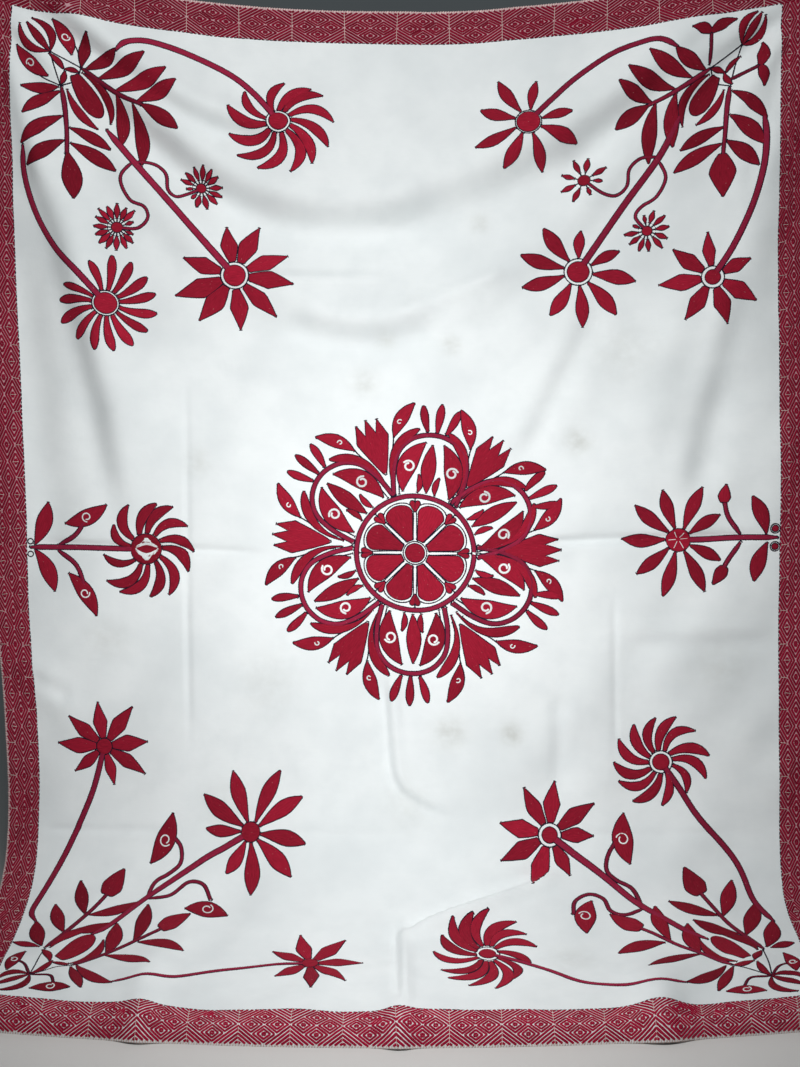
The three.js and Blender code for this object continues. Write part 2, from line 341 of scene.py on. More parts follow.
class HangingCloth:
    """Middle surface of the quilt as it hangs, on a grid of flat lines, in metres."""

    def __init__(self, cell, thick):
        self.thick = thick
        self.across = grid_lines(-HALF_WIDTH, HALF_WIDTH, cell, CREASED_ACROSS)
        self.down = grid_lines(0, LENGTH, cell, CREASED_DOWN)
        self.points = self.hang_grid() * MM
        across_way = np.gradient(self.points, axis=1)
        down_way = np.gradient(self.points, axis=0)
        out = np.cross(down_way, across_way)
        self.out = out / np.linalg.norm(out, axis=2, keepdims=True)

    def hang_grid(self):
        """Rows of points from the top edge to the hem, with the top edge's middle at the origin."""
        across, down = np.meshgrid(self.across, self.down)
        relief = cloth_relief(across, down)
        run_down = np.diff(self.down)[:, None]
        run_across = np.diff(self.across)[None, :]
        edge = np.abs(across) / HALF_WIDTH
        middle_down = (down[1:] + down[:-1]) / 2
        fading = np.clip(1 - middle_down / SAG_LENGTH, 0, 1)
        pucker = 2 * SAG_DEPTH / SAG_LENGTH * (1 - edge[1:] ** SAG_POWER) * fading
        slope = np.diff(relief, axis=0) / run_down
        share = np.sqrt(1 - np.clip(slope**2, 0, STEEPEST)) - pucker
        up = np.zeros_like(relief)
        up[:-1] = np.cumsum((run_down * share)[::-1], axis=0)[::-1]
        steep = (np.diff(relief, axis=1) / run_across) ** 2 + (np.diff(up, axis=1) / run_across) ** 2
        side = np.zeros_like(relief)
        side[:, 1:] = np.cumsum(run_across * np.sqrt(1 - np.clip(steep, 0, STEEPEST)), axis=1)
        middle = int(np.argmin(np.abs(self.across)))
        side -= side[:, [middle]]
        drawn = np.where(across < 0, look_up(SIDE_DRAW, down, 1), look_up(SIDE_DRAW, down, 2))
        side -= np.sign(across) * drawn * edge**SIDE_DRAW_POWER
        back, rise, lean = self.hanging_profile(up)
        relief = relief + crease_reliefs(across, down)
        bulge = BULGE_DEPTH * (1 - edge**2) * (1 - ease((up - BULGE_FLAT) / BULGE_FADE))
        depth = back - relief * np.cos(lean) - bulge
        points = np.stack([side, depth, rise + relief * np.sin(lean)], axis=-1)
        return points - points[0, middle]

    @staticmethod
    def hanging_profile(up):
        """Place and lean of the plain hanging profile, by the length of cloth up from the hem."""
        steps = np.arange(0, LENGTH + 2 * PROFILE_STEP, PROFILE_STEP)
        lean = np.radians(look_up(PROFILE, steps + PROFILE_STEP / 2, 1))
        back = np.concatenate([[0], np.cumsum(PROFILE_STEP * np.sin(lean))])[:-1]
        rise = np.concatenate([[0], np.cumsum(PROFILE_STEP * np.cos(lean))])[:-1]
        return np.interp(up, steps, back), np.interp(up, steps, rise), np.interp(up, steps, lean)

    def hang(self, across, down, height):
        """Places in metres of flat points, each at its height over the triangles of the front face."""
        col = np.clip(np.searchsorted(self.across, across, side="right") - 1, 0, len(self.across) - 2)
        row = np.clip(np.searchsorted(self.down, down, side="right") - 1, 0, len(self.down) - 2)
        part_across = (across - self.across[col]) / (self.across[col + 1] - self.across[col])
        part_down = (down - self.down[row]) / (self.down[row + 1] - self.down[row])
        lower = part_down > part_across
        corners = (
            (row, col, 1 - np.maximum(part_across, part_down)),
            (row + lower, col + ~lower, np.abs(part_across - part_down)),
            (row + 1, col + 1, np.minimum(part_across, part_down)),
        )
        place = sum(share[:, None] * self.points[at_row, at_col] for at_row, at_col, share in corners)
        out = sum(share[:, None] * self.out[at_row, at_col] for at_row, at_col, share in corners)
        return place + out * ((self.thick / 2 + height * MM)[:, None])


class QuiltCloth(bpy.types.PropertyGroup):
    """Sizes and colours of the white cloth."""

    thick: bpy.props.FloatProperty(
        name="Thickness", description="Thickness of the layered cloth", default=0.002, unit="LENGTH"
    )
    cell: bpy.props.FloatProperty(
        name="Cell", description="Size of the sheet's grid cells", default=0.0095, unit="LENGTH"
    )
    white: bpy.props.FloatVectorProperty(
        name="White", description="Colour of the cotton",
        default=(0.90, 0.94, 0.942), size=3, subtype="COLOR",
    )
    # The greyer patches are partly painted shade of small puckers and partly uneven grey in the cloth.
    shade: bpy.props.FloatVectorProperty(
        name="Shade", description="Colour of its greyer patches",
        default=(0.79, 0.835, 0.842), size=3, subtype="COLOR",
    )
    band: bpy.props.FloatVectorProperty(
        name="Band", description="Colour of the cloth under the border's stitches",
        default=(0.50, 0.15, 0.19), size=3, subtype="COLOR",
    )
    stain: bpy.props.FloatVectorProperty(
        name="Stain", description="Colour of the storage stains",
        default=(0.60, 0.62, 0.59), size=3, subtype="COLOR",
    )


class QuiltThread(bpy.types.PropertyGroup):
    """Sizes and colours of the sewing."""

    red: bpy.props.FloatVectorProperty(
        name="Red", description="Colour of the filling thread",
        default=(0.41, 0.012, 0.037), size=3, subtype="COLOR",
    )
    stem: bpy.props.FloatVectorProperty(
        name="Stem", description="Colour of the thread in stems and bands",
        default=(0.35, 0.018, 0.058), size=3, subtype="COLOR",
    )
    border: bpy.props.FloatVectorProperty(
        name="Border", description="Colour of the border's thread",
        default=(0.28, 0.006, 0.03), size=3, subtype="COLOR",
    )
    outline: bpy.props.FloatVectorProperty(
        name="Outline", description="Colour of the outline thread",
        default=(0.014, 0.007, 0.022), size=3, subtype="COLOR",
    )
    edge: bpy.props.FloatVectorProperty(
        name="Edge", description="Colour of the hem's overcast thread and of the border's pale lines",
        default=(0.80, 0.64, 0.59), size=3, subtype="COLOR",
    )
    outline_width: bpy.props.FloatProperty(
        name="Outline width", description="Width of an outline stitch",
        default=0.0037, unit="LENGTH",
    )
    outline_pitch: bpy.props.FloatProperty(
        name="Outline pitch", description="Distance between outline stitches",
        default=0.0046, unit="LENGTH",
    )
    hem_pitch: bpy.props.FloatProperty(
        name="Hem pitch", description="Distance between overcast stitches",
        default=0.0046, unit="LENGTH",
    )


class QuiltStage(bpy.types.PropertyGroup):
    """Camera, light and floor."""

    camera: bpy.props.FloatVectorProperty(
        name="Camera", description="Place of the camera",
        default=(0.006, -2.784, -0.698), size=3, unit="LENGTH",
    )
    dip: bpy.props.FloatProperty(
        name="Dip", description="How far the camera looks down",
        default=math.radians(5.3), subtype="ANGLE",
    )
    lens: bpy.props.FloatProperty(
        name="Lens", description="Focal length in millimetres", default=50.0
    )
    front: bpy.props.FloatProperty(
        name="Front light", description="Power of the light in front of the quilt",
        default=6.15, unit="POWER",
    )
    top: bpy.props.FloatProperty(
        name="Top light", description="Power of the light above and in front",
        default=26.3, unit="POWER",
    )
    fill: bpy.props.FloatProperty(
        name="Fill", description="Strength of the light all around", default=0.07
    )
    floor: bpy.props.FloatVectorProperty(
        name="Floor", description="Colour of the floor",
        default=(0.72, 0.71, 0.69), size=3, subtype="COLOR",
    )


class NodeBuilder:
    """Short calls that add nodes to a tree."""

    def __init__(self, tree):
        self.tree = tree

    def add(self, kind, values=None, **options):
        """A node with its options set, and its inputs set or linked."""
        node = self.tree.nodes.new(kind)
        for option, value in options.items():
            setattr(node, option, value)
        for socket, value in (values or {}).items():
            self.put(node.inputs[socket], value)
        return node

    def put(self, socket, value):
        """Links an output to a socket, or sets the socket's value."""
        if isinstance(value, bpy.types.NodeSocket):
            self.tree.links.new(value, socket)
        else:
            socket.default_value = value


# Looks that every material shares, and the period of Blender's wave bands at scale 1.
SHEEN_ROUGHNESS = 0.5
GLOSS = 0.12
BUMP_STRENGTH = 0.7
WAVE_PERIOD = 2 * math.pi / 20


class MaterialNodes(NodeBuilder):
    """A new node material with a Principled shader, and short calls for its parts."""

    def __init__(self, name, roughness, sheen=0.0):
        self.material = bpy.data.materials.new(name)
        self.material.use_nodes = True
        super().__init__(self.material.node_tree)
        self.shader = self.tree.nodes["Principled BSDF"].inputs
        self.shader["Roughness"].default_value = roughness
        self.shader["Sheen Weight"].default_value = sheen
        self.shader["Sheen Roughness"].default_value = SHEEN_ROUGHNESS
        self.shader["Specular IOR Level"].default_value = GLOSS

    def flat(self):
        """The place on the flat cloth, or over and along a filled shape."""
        return self.add("ShaderNodeUVMap", uv_map=FLAT_UV).outputs["UV"]

    def place(self):
        """The place on the piece as it hangs."""
        return self.add("ShaderNodeTexCoord").outputs["Object"]

    def carried(self, name):
        """A value that the mesh carries."""
        return self.add("ShaderNodeAttribute", attribute_name=name).outputs["Fac"]

    def noise(self, place, scale, detail=2.0, stretch=(1, 1, 1)):
        """Noise value on a place, which may be stretched."""
        mapping = self.add("ShaderNodeMapping", {"Vector": place, "Scale": stretch})
        values = {"Vector": mapping.outputs["Vector"], "Scale": scale, "Detail": detail}
        return self.add("ShaderNodeTexNoise", values).outputs["Fac"]

    def rows(self, place, direction, pitch, waver):
        """Wavering rows of thread, one for each pitch in a direction."""
        values = {"Vector": place, "Scale": WAVE_PERIOD / pitch, "Distortion": waver, "Detail": 1.0}
        return self.add("ShaderNodeTexWave", values, bands_direction=direction).outputs["Fac"]

    def steps(self, value, low, high):
        """A value spread from 0 at low to 1 at high."""
        node = self.add("ShaderNodeMapRange", {"Value": value, "From Min": low, "From Max": high})
        return node.outputs["Result"]

    def mix(self, factor, low, high):
        """A colour between two colours."""
        node = self.add("ShaderNodeMix", data_type="RGBA")
        self.put(node.inputs["Factor"], factor)
        for socket, value in ((node.inputs[6], low), (node.inputs[7], high)):
            self.put(socket, (*value, 1.0) if isinstance(value, tuple) else value)
        return node.outputs[2]

    def scaled(self, colour, value):
        """A colour made lighter or darker by a value."""
        node = self.add("ShaderNodeVectorMath", {"Vector": colour, "Scale": value}, operation="SCALE")
        return node.outputs["Vector"]

    def sum(self, first, second, share):
        """First value plus a share of the second."""
        node = self.add("ShaderNodeMath", {0: second, 1: share, 2: first}, operation="MULTIPLY_ADD")
        return node.outputs["Value"]

    def finish(self, colour, height, depth):
        """Sets the colour and the bump, and gives the material."""
        self.put(self.shader["Base Color"], colour)
        bump = self.add("ShaderNodeBump", {"Height": height, "Distance": depth, "Strength": BUMP_STRENGTH})
        self.put(self.shader["Normal"], bump.outputs["Normal"])
        return self.material


# Greyer parts of the cotton, partly uneven grey in the cloth and partly painted shade of small puckers:
# scale, detail and stretch of a noise, where they begin and are full, strength.
GREY_AND_SHADE_PATCHES = (
    (5.0, 4.0, (1, 1, 1), 0.42, 0.72, 1.0),
    (17.0, 3.0, (1, 1, 1), 0.45, 0.75, 0.5),
    (40.0, 2.0, (1, 12, 1), 0.3, 0.75, 0.12),
)
STAIN_SCALE, STAIN_RANGE = 45.0, (0.1, 0.6)
# Bands of cloth under the border's stitches: direction, where each begins and is full, and its strength. The
# bottom band is the weakest, so more white shows between the bottom border's stitches, which also paints
# that side lighter as painted light.
BANDS = (
    ("X", -FIELD_HALF + 0.5, -FIELD_HALF - 0.5, 0.8),
    ("X", FIELD_HALF - 0.5, FIELD_HALF + 0.5, 0.8),
    ("Y", -FIELD_TOP - 0.5, -FIELD_TOP + 0.5, 0.75),
    ("Y", -FIELD_FOOT + 0.5, -FIELD_FOOT - 0.5, 0.15),
)
# Weave of the cotton: pitch and depth in metres, waver, and shares of its rows and slubs.
WEAVE_PITCH, WEAVE_DEPTH = 0.0013, 0.0005
WEAVE_WAVER = 1.2
WEAVE_SHARE, SLUB_SHARE = 0.35, 0.8
SLUB_SCALE = 90.0


def cotton_material(cloth):
    """Plain weave in two directions, greyer patches that are partly painted shade of small puckers, and
    storage stains.
    """
    nodes = MaterialNodes("woven_cotton", roughness=0.95, sheen=0.06)
    flat = nodes.flat()
    colour = tuple(cloth.white)
    # Each noise patch greys the cloth and also paints the shade of small puckers.
    for scale, detail, stretch, low, high, strength in GREY_AND_SHADE_PATCHES:
        grey_and_shade = nodes.steps(nodes.noise(flat, scale, detail, stretch), low, high)
        colour = nodes.mix(nodes.sum(0.0, grey_and_shade, strength), colour, tuple(cloth.shade))
    blot = nodes.steps(nodes.noise(flat, STAIN_SCALE), *STAIN_RANGE)
    colour = nodes.mix(nodes.sum(0.0, nodes.carried("stain"), blot), colour, tuple(cloth.stain))
    for direction, low, high, strength in BANDS:
        place = nodes.add("ShaderNodeSeparateXYZ", {"Vector": flat}).outputs[direction]
        inside = nodes.steps(place, low * MM, high * MM)
        colour = nodes.mix(nodes.sum(0.0, inside, strength), colour, tuple(cloth.band))
    weave = 0.0
    for direction in ("X", "Y"):
        weave = nodes.sum(weave, nodes.rows(flat, direction, WEAVE_PITCH, WEAVE_WAVER), WEAVE_SHARE)
    slubs = nodes.noise(flat, SLUB_SCALE, detail=3.0)
    return nodes.finish(colour, nodes.sum(weave, slubs, SLUB_SHARE), WEAVE_DEPTH)


# Rows of the filling: pitch and depth in metres, waver, and the stretch and range of its streaks and specks.
ROW_PITCH, ROW_DEPTH = 0.0016, 0.0006
ROW_WAVER = 1.5
STREAK_STRETCH, STREAK_RANGE, STREAK_DARK = (620, 70, 1), (0.3, 0.7), 0.66
SPECK_STRETCH, SPECK_RANGE, SPECK_COLOUR = (420, 210, 1), (0.73, 0.78), (0.60, 0.30, 0.30)
STREAK_SHARE, SPECK_SHARE = 0.5, 0.5


def filling_material(thread):
    """Close parallel rows of thread along each shape, with streaks and pale specks of cloth."""
    nodes = MaterialNodes("red_filling", roughness=0.8)
    along = nodes.flat()
    streak = nodes.steps(nodes.noise(along, 1.0, detail=3.0, stretch=STREAK_STRETCH), *STREAK_RANGE)
    speck = nodes.steps(nodes.noise(along, 1.0, detail=1.0, stretch=SPECK_STRETCH), *SPECK_RANGE)
    colour = nodes.mix(nodes.carried("banded"), tuple(thread.red), tuple(thread.stem))
    colour = nodes.scaled(colour, nodes.sum(STREAK_DARK, streak, 1 - STREAK_DARK))
    colour = nodes.scaled(colour, nodes.carried("tone"))
    colour = nodes.mix(nodes.sum(0.0, speck, SPECK_SHARE), colour, SPECK_COLOUR)
    rows = nodes.rows(along, "X", ROW_PITCH, ROW_WAVER)
    return nodes.finish(colour, nodes.sum(rows, streak, STREAK_SHARE), ROW_DEPTH)


# Fibres of single stitches, clouds and grain of the floor: scale of a noise, range, dark share and depth.
FIBRE_SCALE, FIBRE_RANGE, FIBRE_DARK, FIBRE_DEPTH = 700.0, (0.3, 0.7), 0.7, 0.0004
CLOUD_SCALE, CLOUD_DARK = 1.6, 0.96
GRAIN_SCALE, GRAIN_DEPTH = 120.0, 0.0002


def stitch_material(name, colour, roughness):
    """Twisted thread of single stitches, lighter and darker from stitch to stitch."""
    nodes = MaterialNodes(name, roughness)
    fibre = nodes.steps(nodes.noise(nodes.place(), FIBRE_SCALE), *FIBRE_RANGE)
    shade = nodes.mix(fibre, tuple(FIBRE_DARK * part for part in colour), tuple(colour))
    return nodes.finish(nodes.scaled(shade, nodes.carried("tone")), fibre, FIBRE_DEPTH)


def floor_material(stage):
    """Pale plain floor with a faint cloudy tone."""
    nodes = MaterialNodes("pale_floor", roughness=0.75)
    place = nodes.place()
    cloud = nodes.noise(place, CLOUD_SCALE, detail=4.0)
    colour = nodes.mix(cloud, tuple(CLOUD_DARK * part for part in stage.floor), tuple(stage.floor))
    return nodes.finish(colour, nodes.noise(place, GRAIN_SCALE), GRAIN_DEPTH)


def finished(kind):
    """The named material, made once."""
    makers = {
        "woven_cotton": lambda scene: cotton_material(scene.quilt_cloth),
        "white_thread": lambda scene: stitch_material("white_thread", scene.quilt_cloth.white, 0.9),
        "red_filling": lambda scene: filling_material(scene.quilt_thread),
        "red_stitches": lambda scene: stitch_material("red_stitches", scene.quilt_thread.border, 0.75),
        "outline_thread": lambda scene: stitch_material("outline_thread", scene.quilt_thread.outline, 0.7),
        "edge_thread": lambda scene: stitch_material("edge_thread", scene.quilt_thread.edge, 0.85),
        "pale_floor": lambda scene: floor_material(scene.quilt_stage),
    }
    return bpy.data.materials.get(kind) or makers[kind](bpy.context.scene)


def new_mesh(name, points, faces, uv=None, **values):
    """A smooth mesh with a flat UV map and one float attribute for each named value."""
    mesh = bpy.data.meshes.new(name)
    mesh.from_pydata(points.tolist(), [], faces.tolist())
    if uv is not None:
        corners = np.empty(len(mesh.loops), np.int32)
        mesh.loops.foreach_get("vertex_index", corners)
        mesh.uv_layers.new(name=FLAT_UV).data.foreach_set("uv", uv[corners].ravel().astype(np.float32))
    for label, value in values.items():
        mesh.attributes.new(label, "FLOAT", "POINT").data.foreach_set("value", value.astype(np.float32))
    mesh.shade_smooth()
    return mesh


def grid_faces(rows, cols, start=0):
    """Quads over a grid of points."""
    corner = (np.arange(rows - 1)[:, None] * cols + np.arange(cols - 1)[None, :]).ravel() + start
    return np.stack([corner, corner + cols, corner + cols + 1, corner + 1], axis=1)


def add_piece(name, mesh, material):
    """A finished piece, which rides on the quilt's body."""
    piece = bpy.data.objects.new(name, mesh)
    bpy.context.scene.collection.objects.link(piece)
    mesh.materials.clear()
    mesh.materials.append(finished(material))
    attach(piece, BODY)
    return piece


HUNG = {}


def hanging_cloth():
    """The cloth as it hangs, worked out once."""
    if "cloth" not in HUNG:
        cloth = bpy.context.scene.quilt_cloth
        HUNG["cloth"] = HangingCloth(cloth.cell / MM, cloth.thick)
    return HUNG["cloth"]


def edge_loop(rows, cols):
    """Indices of a grid's edge, anticlockwise from the top left as seen from the front."""
    left = np.arange(rows - 1) * cols
    foot = (rows - 1) * cols + np.arange(cols - 1)
    right = np.arange(rows - 1, 0, -1) * cols + cols - 1
    top = np.arange(cols - 1, 0, -1)
    return np.concatenate([left, foot, right, top])


def stain_strength(across, down):
    """How stained the cloth is at each flat place."""
    strength = np.zeros_like(across)
    for stain_across, stain_down, reach, amount in STAINS:
        away = ((across - stain_across) ** 2 + (down - stain_down) ** 2) / reach**2
        strength += amount * np.exp(-away)
    return np.clip(strength, 0, 1)


# Rounded hem: steps out from the edge and over the thickness, as shares of the half thickness.
HEM_ROUND = ((0.75, 0.7), (1.2, 0.0), (0.75, -0.7))


def cloth_mesh(cloth):
    """Front, back and rounded hem of the sheet."""
    rows, cols = cloth.points.shape[:2]
    half = cloth.thick / 2
    front = cloth.points + cloth.out * half
    back = cloth.points - cloth.out * half
    across, down = np.meshgrid(cloth.across, cloth.down)
    flat = np.stack([across.ravel(), -down.ravel()], axis=1) * MM
    loop = edge_loop(rows, cols)
    middle = cloth.points.reshape(-1, 3)[loop]
    out = cloth.out.reshape(-1, 3)[loop]
    ways = np.roll(middle, -1, axis=0) - np.roll(middle, 1, axis=0)
    outward = np.cross(ways, out)
    outward /= np.linalg.norm(outward, axis=1, keepdims=True)
    rings = [middle + outward * half * step + out * half * lift for step, lift in HEM_ROUND]
    count = rows * cols
    front_faces = grid_faces(rows, cols)
    back_faces = grid_faces(rows, cols, count)[:, ::-1]
    starts = [2 * count + len(loop) * ring for ring in range(len(rings))]
    edges = [loop] + [start + np.arange(len(loop)) for start in starts] + [loop + count]
    hem_faces = []
    for near, far in zip(edges, edges[1:]):
        hem_faces.append(np.stack([near, far, np.roll(far, -1), np.roll(near, -1)], axis=1))
    faces = np.concatenate([front_faces, back_faces] + hem_faces)
    points = np.concatenate([front.reshape(-1, 3), back.reshape(-1, 3)] + rings)
    uv = np.concatenate([flat, flat] + [flat[loop]] * len(rings))
    stain = stain_strength(across.ravel(), down.ravel())
    stain = np.concatenate([stain, stain] + [stain[loop]] * len(rings))
    return new_mesh("quilt_sheet", points, faces, uv, stain=stain)


# How the filling lies on the cloth, in millimetres.
STITCH_ROW = 3.2
FILL_LIFT = 0.5
FILL_DOME = 0.45
FILL_RIDGE = 0.10
FILL_TUCK = -0.15
FILL_EDGE = 0.7
LAYER_STEP = 0.22
SMALLEST_WIDTH = 0.5
LEAF_ROW = 4.5
LINE_GAP = 0.2

# How the filling is divided and shaped, as counts and shares.
FILL_COLUMNS = (5, 15)
FILL_INNER = 0.6
FILL_END_POWER = 8
PATTERN_SHIFT = 1000
TONE_SPREAD = 0.18
LEAF_ROWS = (9, 25)
STEM_POINT, STEM_TAPER = 0.3, 3
DISC_ROWS = 13
RING_POINTS = 16
FAN_ROWS, FAN_START, FAN_LAST = 10, 0.02, 0.985
FAN_ROUND = 0.1
CURL_POINTS, CURL_WIND, CURL_LAYERS = 18, 0.55, 2


def polar(centre, reach, turn):
    """A flat place at a distance and a direction in degrees, anticlockwise from the right."""
    angle = math.radians(turn)
    return np.array((centre[0] + reach * math.cos(angle), centre[1] - reach * math.sin(angle)))


def turned_left(run):
    """A flat run turned a quarter to the left, as the viewer sees it."""
    return np.array((run[1], -run[0]))


def left_of(line):
    """Unit directions to the left of a flat line, as the viewer sees it."""
    way = np.gradient(line, axis=0)
    way /= np.maximum(np.linalg.norm(way, axis=1, keepdims=True), 1e-9)
    return np.stack([way[:, 1], -way[:, 0]], axis=1)


class Shape(NamedTuple):
    """Outline of a leaf: its belly's place, how straight its sides are, its root's width, and its tip."""

    belly: float = 0.5
    kite: float = 0.0
    foot: float = 0.0
    blunt: float = 0.85
    round_end: bool = False


LEAF = Shape(0.55, 0.1, 0.06)
LENS = Shape(0.5, 0.1)
BULB = Shape(0.62, 0.0, 0.4, 0.5)
SPADE = Shape(0.42, 0.6, 0.25)
ARROW = Shape(0.34, 0.45, 0.45, 0.7)
ROUND_PETAL = Shape(0.72, 0.0, 0.22, round_end=True)


def width_share(t, shape):
    """Share of a leaf's full width at each share of its length."""
    if shape.round_end:
        beyond = np.clip((t - shape.belly) / (1 - shape.belly), 0, 1)
        swell = np.where(t < shape.belly, t / shape.belly, np.sqrt(1 - beyond**2))
    else:
        lens = np.sin(np.pi * t ** (math.log(0.5) / math.log(shape.belly))) ** shape.blunt
        straight = np.minimum(t / shape.belly, (1 - t) / (1 - shape.belly))
        swell = lens * (1 - shape.kite) + straight * shape.kite
    return np.where(t < shape.belly, shape.foot + (1 - shape.foot) * swell, swell)


class Sewing:
    """What is sewn in one part of the quilt: red fillings, dark outlines and white curls."""

    def __init__(self, seed, tone=1.0):
        self.hand = np.random.default_rng(seed)
        self.tone = tone
        self.layer = 0
        self.patches = []
        self.white = []
        self.lines = []

    def uneven(self, spread):
        """A share close to 1, as a hand gives it."""
        return 1 + spread * self.hand.uniform(-1, 1)

    def patch(self, places, over, along, tone=1.0, white=False, banded=False):
        """Adds a filled grid of flat places, domed over the cloth and tucked in at its edge."""
        rows, cols = places.shape[:2]
        side = np.linspace(-1, 1, cols)[None, :]
        end = np.linspace(-1, 1, rows)[:, None]
        dome = FILL_DOME * (1 - side**2) * (1 - end**FILL_END_POWER)
        height = FILL_LIFT + self.layer * LAYER_STEP + dome
        height = height + FILL_RIDGE * (-1.0) ** np.arange(cols)[None, :]
        height[[0, -1], :] = FILL_TUCK
        height[:, [0, -1]] = FILL_TUCK
        tone = tone * (1.0 if white else self.tone) * self.uneven(TONE_SPREAD)
        tones = np.full(rows * cols, tone)
        bands = np.full(rows * cols, float(banded))
        uv = np.stack([over, along], axis=-1).reshape(-1, 2) * MM
        (self.white if white else self.patches).append((places, height, uv, tones, bands))

    def strip(self, line, half, tone=1.0, white=False, outline=True, fill=True, banded=False):
        """Fills a strip of changing width along a flat line, and outlines it."""
        half = np.maximum(half, SMALLEST_WIDTH / 2)
        left = left_of(line)
        if fill:
            cols = int(np.clip(2 * round(half.max() / STITCH_ROW) + 3, *FILL_COLUMNS))
            inner = np.maximum(half - FILL_EDGE, FILL_INNER * half)
            over = inner[:, None] * np.linspace(-1, 1, cols - 2)[None, :]
            over = np.concatenate([-half[:, None], over, half[:, None]], axis=1)
            places = line[:, None, :] + left[:, None, :] * over[:, :, None]
            along = np.repeat(line_length(line)[:, None], cols, axis=1)
            self.patch(places, over, along + PATTERN_SHIFT * self.hand.random(), tone, white, banded)
        if outline:
            reach = left * half[:, None]
            self.lines.append(np.concatenate([line + reach, (line - reach)[::-1]]))

    def leaf(self, root, tip, width, bend=0.0, shape=LEAF, tone=1.0, fill=True):
        """A leaf or petal on a curved spine, which bulges to the left for a positive bend."""
        root, tip = np.array(root, float), np.array(tip, float)
        run = tip - root
        control = root + run * 0.5 + turned_left(run) * 2 * bend
        rows = int(np.clip(round(np.hypot(*run) / LEAF_ROW), *LEAF_ROWS))
        t = (1 - np.cos(np.linspace(0, np.pi, rows))) / 2
        share = t[:, None]
        line = (1 - share) ** 2 * root + 2 * share * (1 - share) * control + share**2 * tip
        self.strip(line, width / 2 * width_share(t, shape), tone, fill=fill)

    def stem(self, points, width, end_width=None, tone=1.0, pointed=True):
        """A stem of thread rows along a smooth line, which may be pointed at its root."""
        line = spline(points)
        half = np.linspace(width, end_width or width, len(line)) / 2
        if pointed:
            half = half * np.minimum(1, STEM_POINT + line_length(line) / (STEM_TAPER * width))
        self.strip(line, half, tone, banded=True)

    def disc(self, centre, radius):
        """A round filled place."""
        t = (1 - np.cos(np.linspace(0, np.pi, DISC_ROWS))) / 2
        start = np.array((centre[0] - radius, centre[1]), float)
        line = start + np.stack([2 * radius * t, 0 * t], axis=1)
        self.strip(line, 2 * radius * np.sqrt(t * (1 - t)))

    def ring(self, centre, radius):
        """An outline in a circle."""
        turns = np.linspace(0, 360, max(RING_POINTS, round(radius)), endpoint=False)
        self.lines.append(np.array([polar(centre, radius, turn) for turn in turns]))

    def line(self, points):
        """An open line of outline thread, there and back in one loop."""
        line = spline(points)
        left = left_of(line) * LINE_GAP
        self.lines.append(np.concatenate([line + left, (line - left)[::-1]]))

    def fan(self, root, tip, width, tips, notch, rise):
        """A tulip head: it widens from its root and ends in a row of points."""
        root, tip = np.array(root, float), np.array(tip, float)
        run = tip - root
        left = turned_left(run) / np.hypot(*run)
        hem = 1 - 2 * FILL_EDGE / width
        side = np.concatenate([[-1, -hem], np.linspace(-1, 1, 4 * tips + 1)[1:-1], [hem, 1]])
        phase = (side + 1) / 2 * tips - 0.5
        reach = 1 - notch * 2 * np.abs(phase - np.round(phase)) - FAN_ROUND * side**2
        t = np.append(np.linspace(FAN_START, FAN_LAST, FAN_ROWS), 1)
        half = width / 2 * t**rise
        over = half[:, None] * side[None, :]
        along = t[:, None] * reach[None, :]
        places = root + along[:, :, None] * run + over[:, :, None] * left
        self.patch(places, over, along * np.hypot(*run))
        self.lines.append(np.concatenate([places[:, 0], places[-1, 1:], places[-2::-1, -1]]))

    def curl(self, centre, radius, start, turns, width, outline=False):
        """A white curl: a thread that winds in to the middle of a bud."""
        line = []
        for share in np.linspace(0, 1, CURL_POINTS):
            line.append(polar(centre, radius * (1 - CURL_WIND * share), start - 360 * turns * share))
        self.layer += CURL_LAYERS
        self.strip(np.array(line), np.full(CURL_POINTS, width / 2), white=True, outline=outline)
        self.layer -= CURL_LAYERS


def patches_mesh(name, patches, cloth):
    """One mesh of all the filled grids, hung on the cloth."""
    points, faces, uvs, tones, bands = [], [], [], [], []
    count = 0
    for places, height, uv, tone, banded in patches:
        rows, cols = places.shape[:2]
        flat = places.reshape(-1, 2)
        points.append(cloth.hang(flat[:, 0], flat[:, 1], height.ravel()))
        faces.append(grid_faces(rows, cols, count))
        uvs.append(uv)
        tones.append(tone)
        bands.append(banded)
        count += rows * cols
    values = {"tone": np.concatenate(tones), "banded": np.concatenate(bands)}
    return new_mesh(name, np.concatenate(points), np.concatenate(faces), np.concatenate(uvs), **values)


def flat_lines_mesh(name, loops):
    """Closed flat lines as loose edges, for the stitches to follow."""
    points, edges = [], []
    count = 0
    for loop in loops:
        near = np.arange(len(loop)) + count
        points.append(np.stack([loop[:, 0], -loop[:, 1], 0 * loop[:, 0]], axis=1) * MM)
        edges.append(np.stack([near, np.roll(near, -1)], axis=1))
        count += len(loop)
    mesh = bpy.data.meshes.new(name)
    mesh.from_pydata(np.concatenate(points).tolist(), np.concatenate(edges).tolist(), [])
    return mesh


def helper_object(name, points, faces):
    """An object that only a node tree uses."""
    shape = bpy.data.objects.new(name, new_mesh(name, points, faces))
    bpy.context.scene.collection.objects.link(shape)
    return shape


def thread_shape(name, sections):
    """A helper for one stitch, from its sections in unit sizes: (along, (over, height) points)."""
    points = [(along, over, height) for along, section in sections for over, height in section]
    faces = grid_faces(len(sections), len(sections[0][1]))
    return helper_object(name, np.array(points), faces[:, ::-1])


STITCH_TONES = (0.8, 1.15)


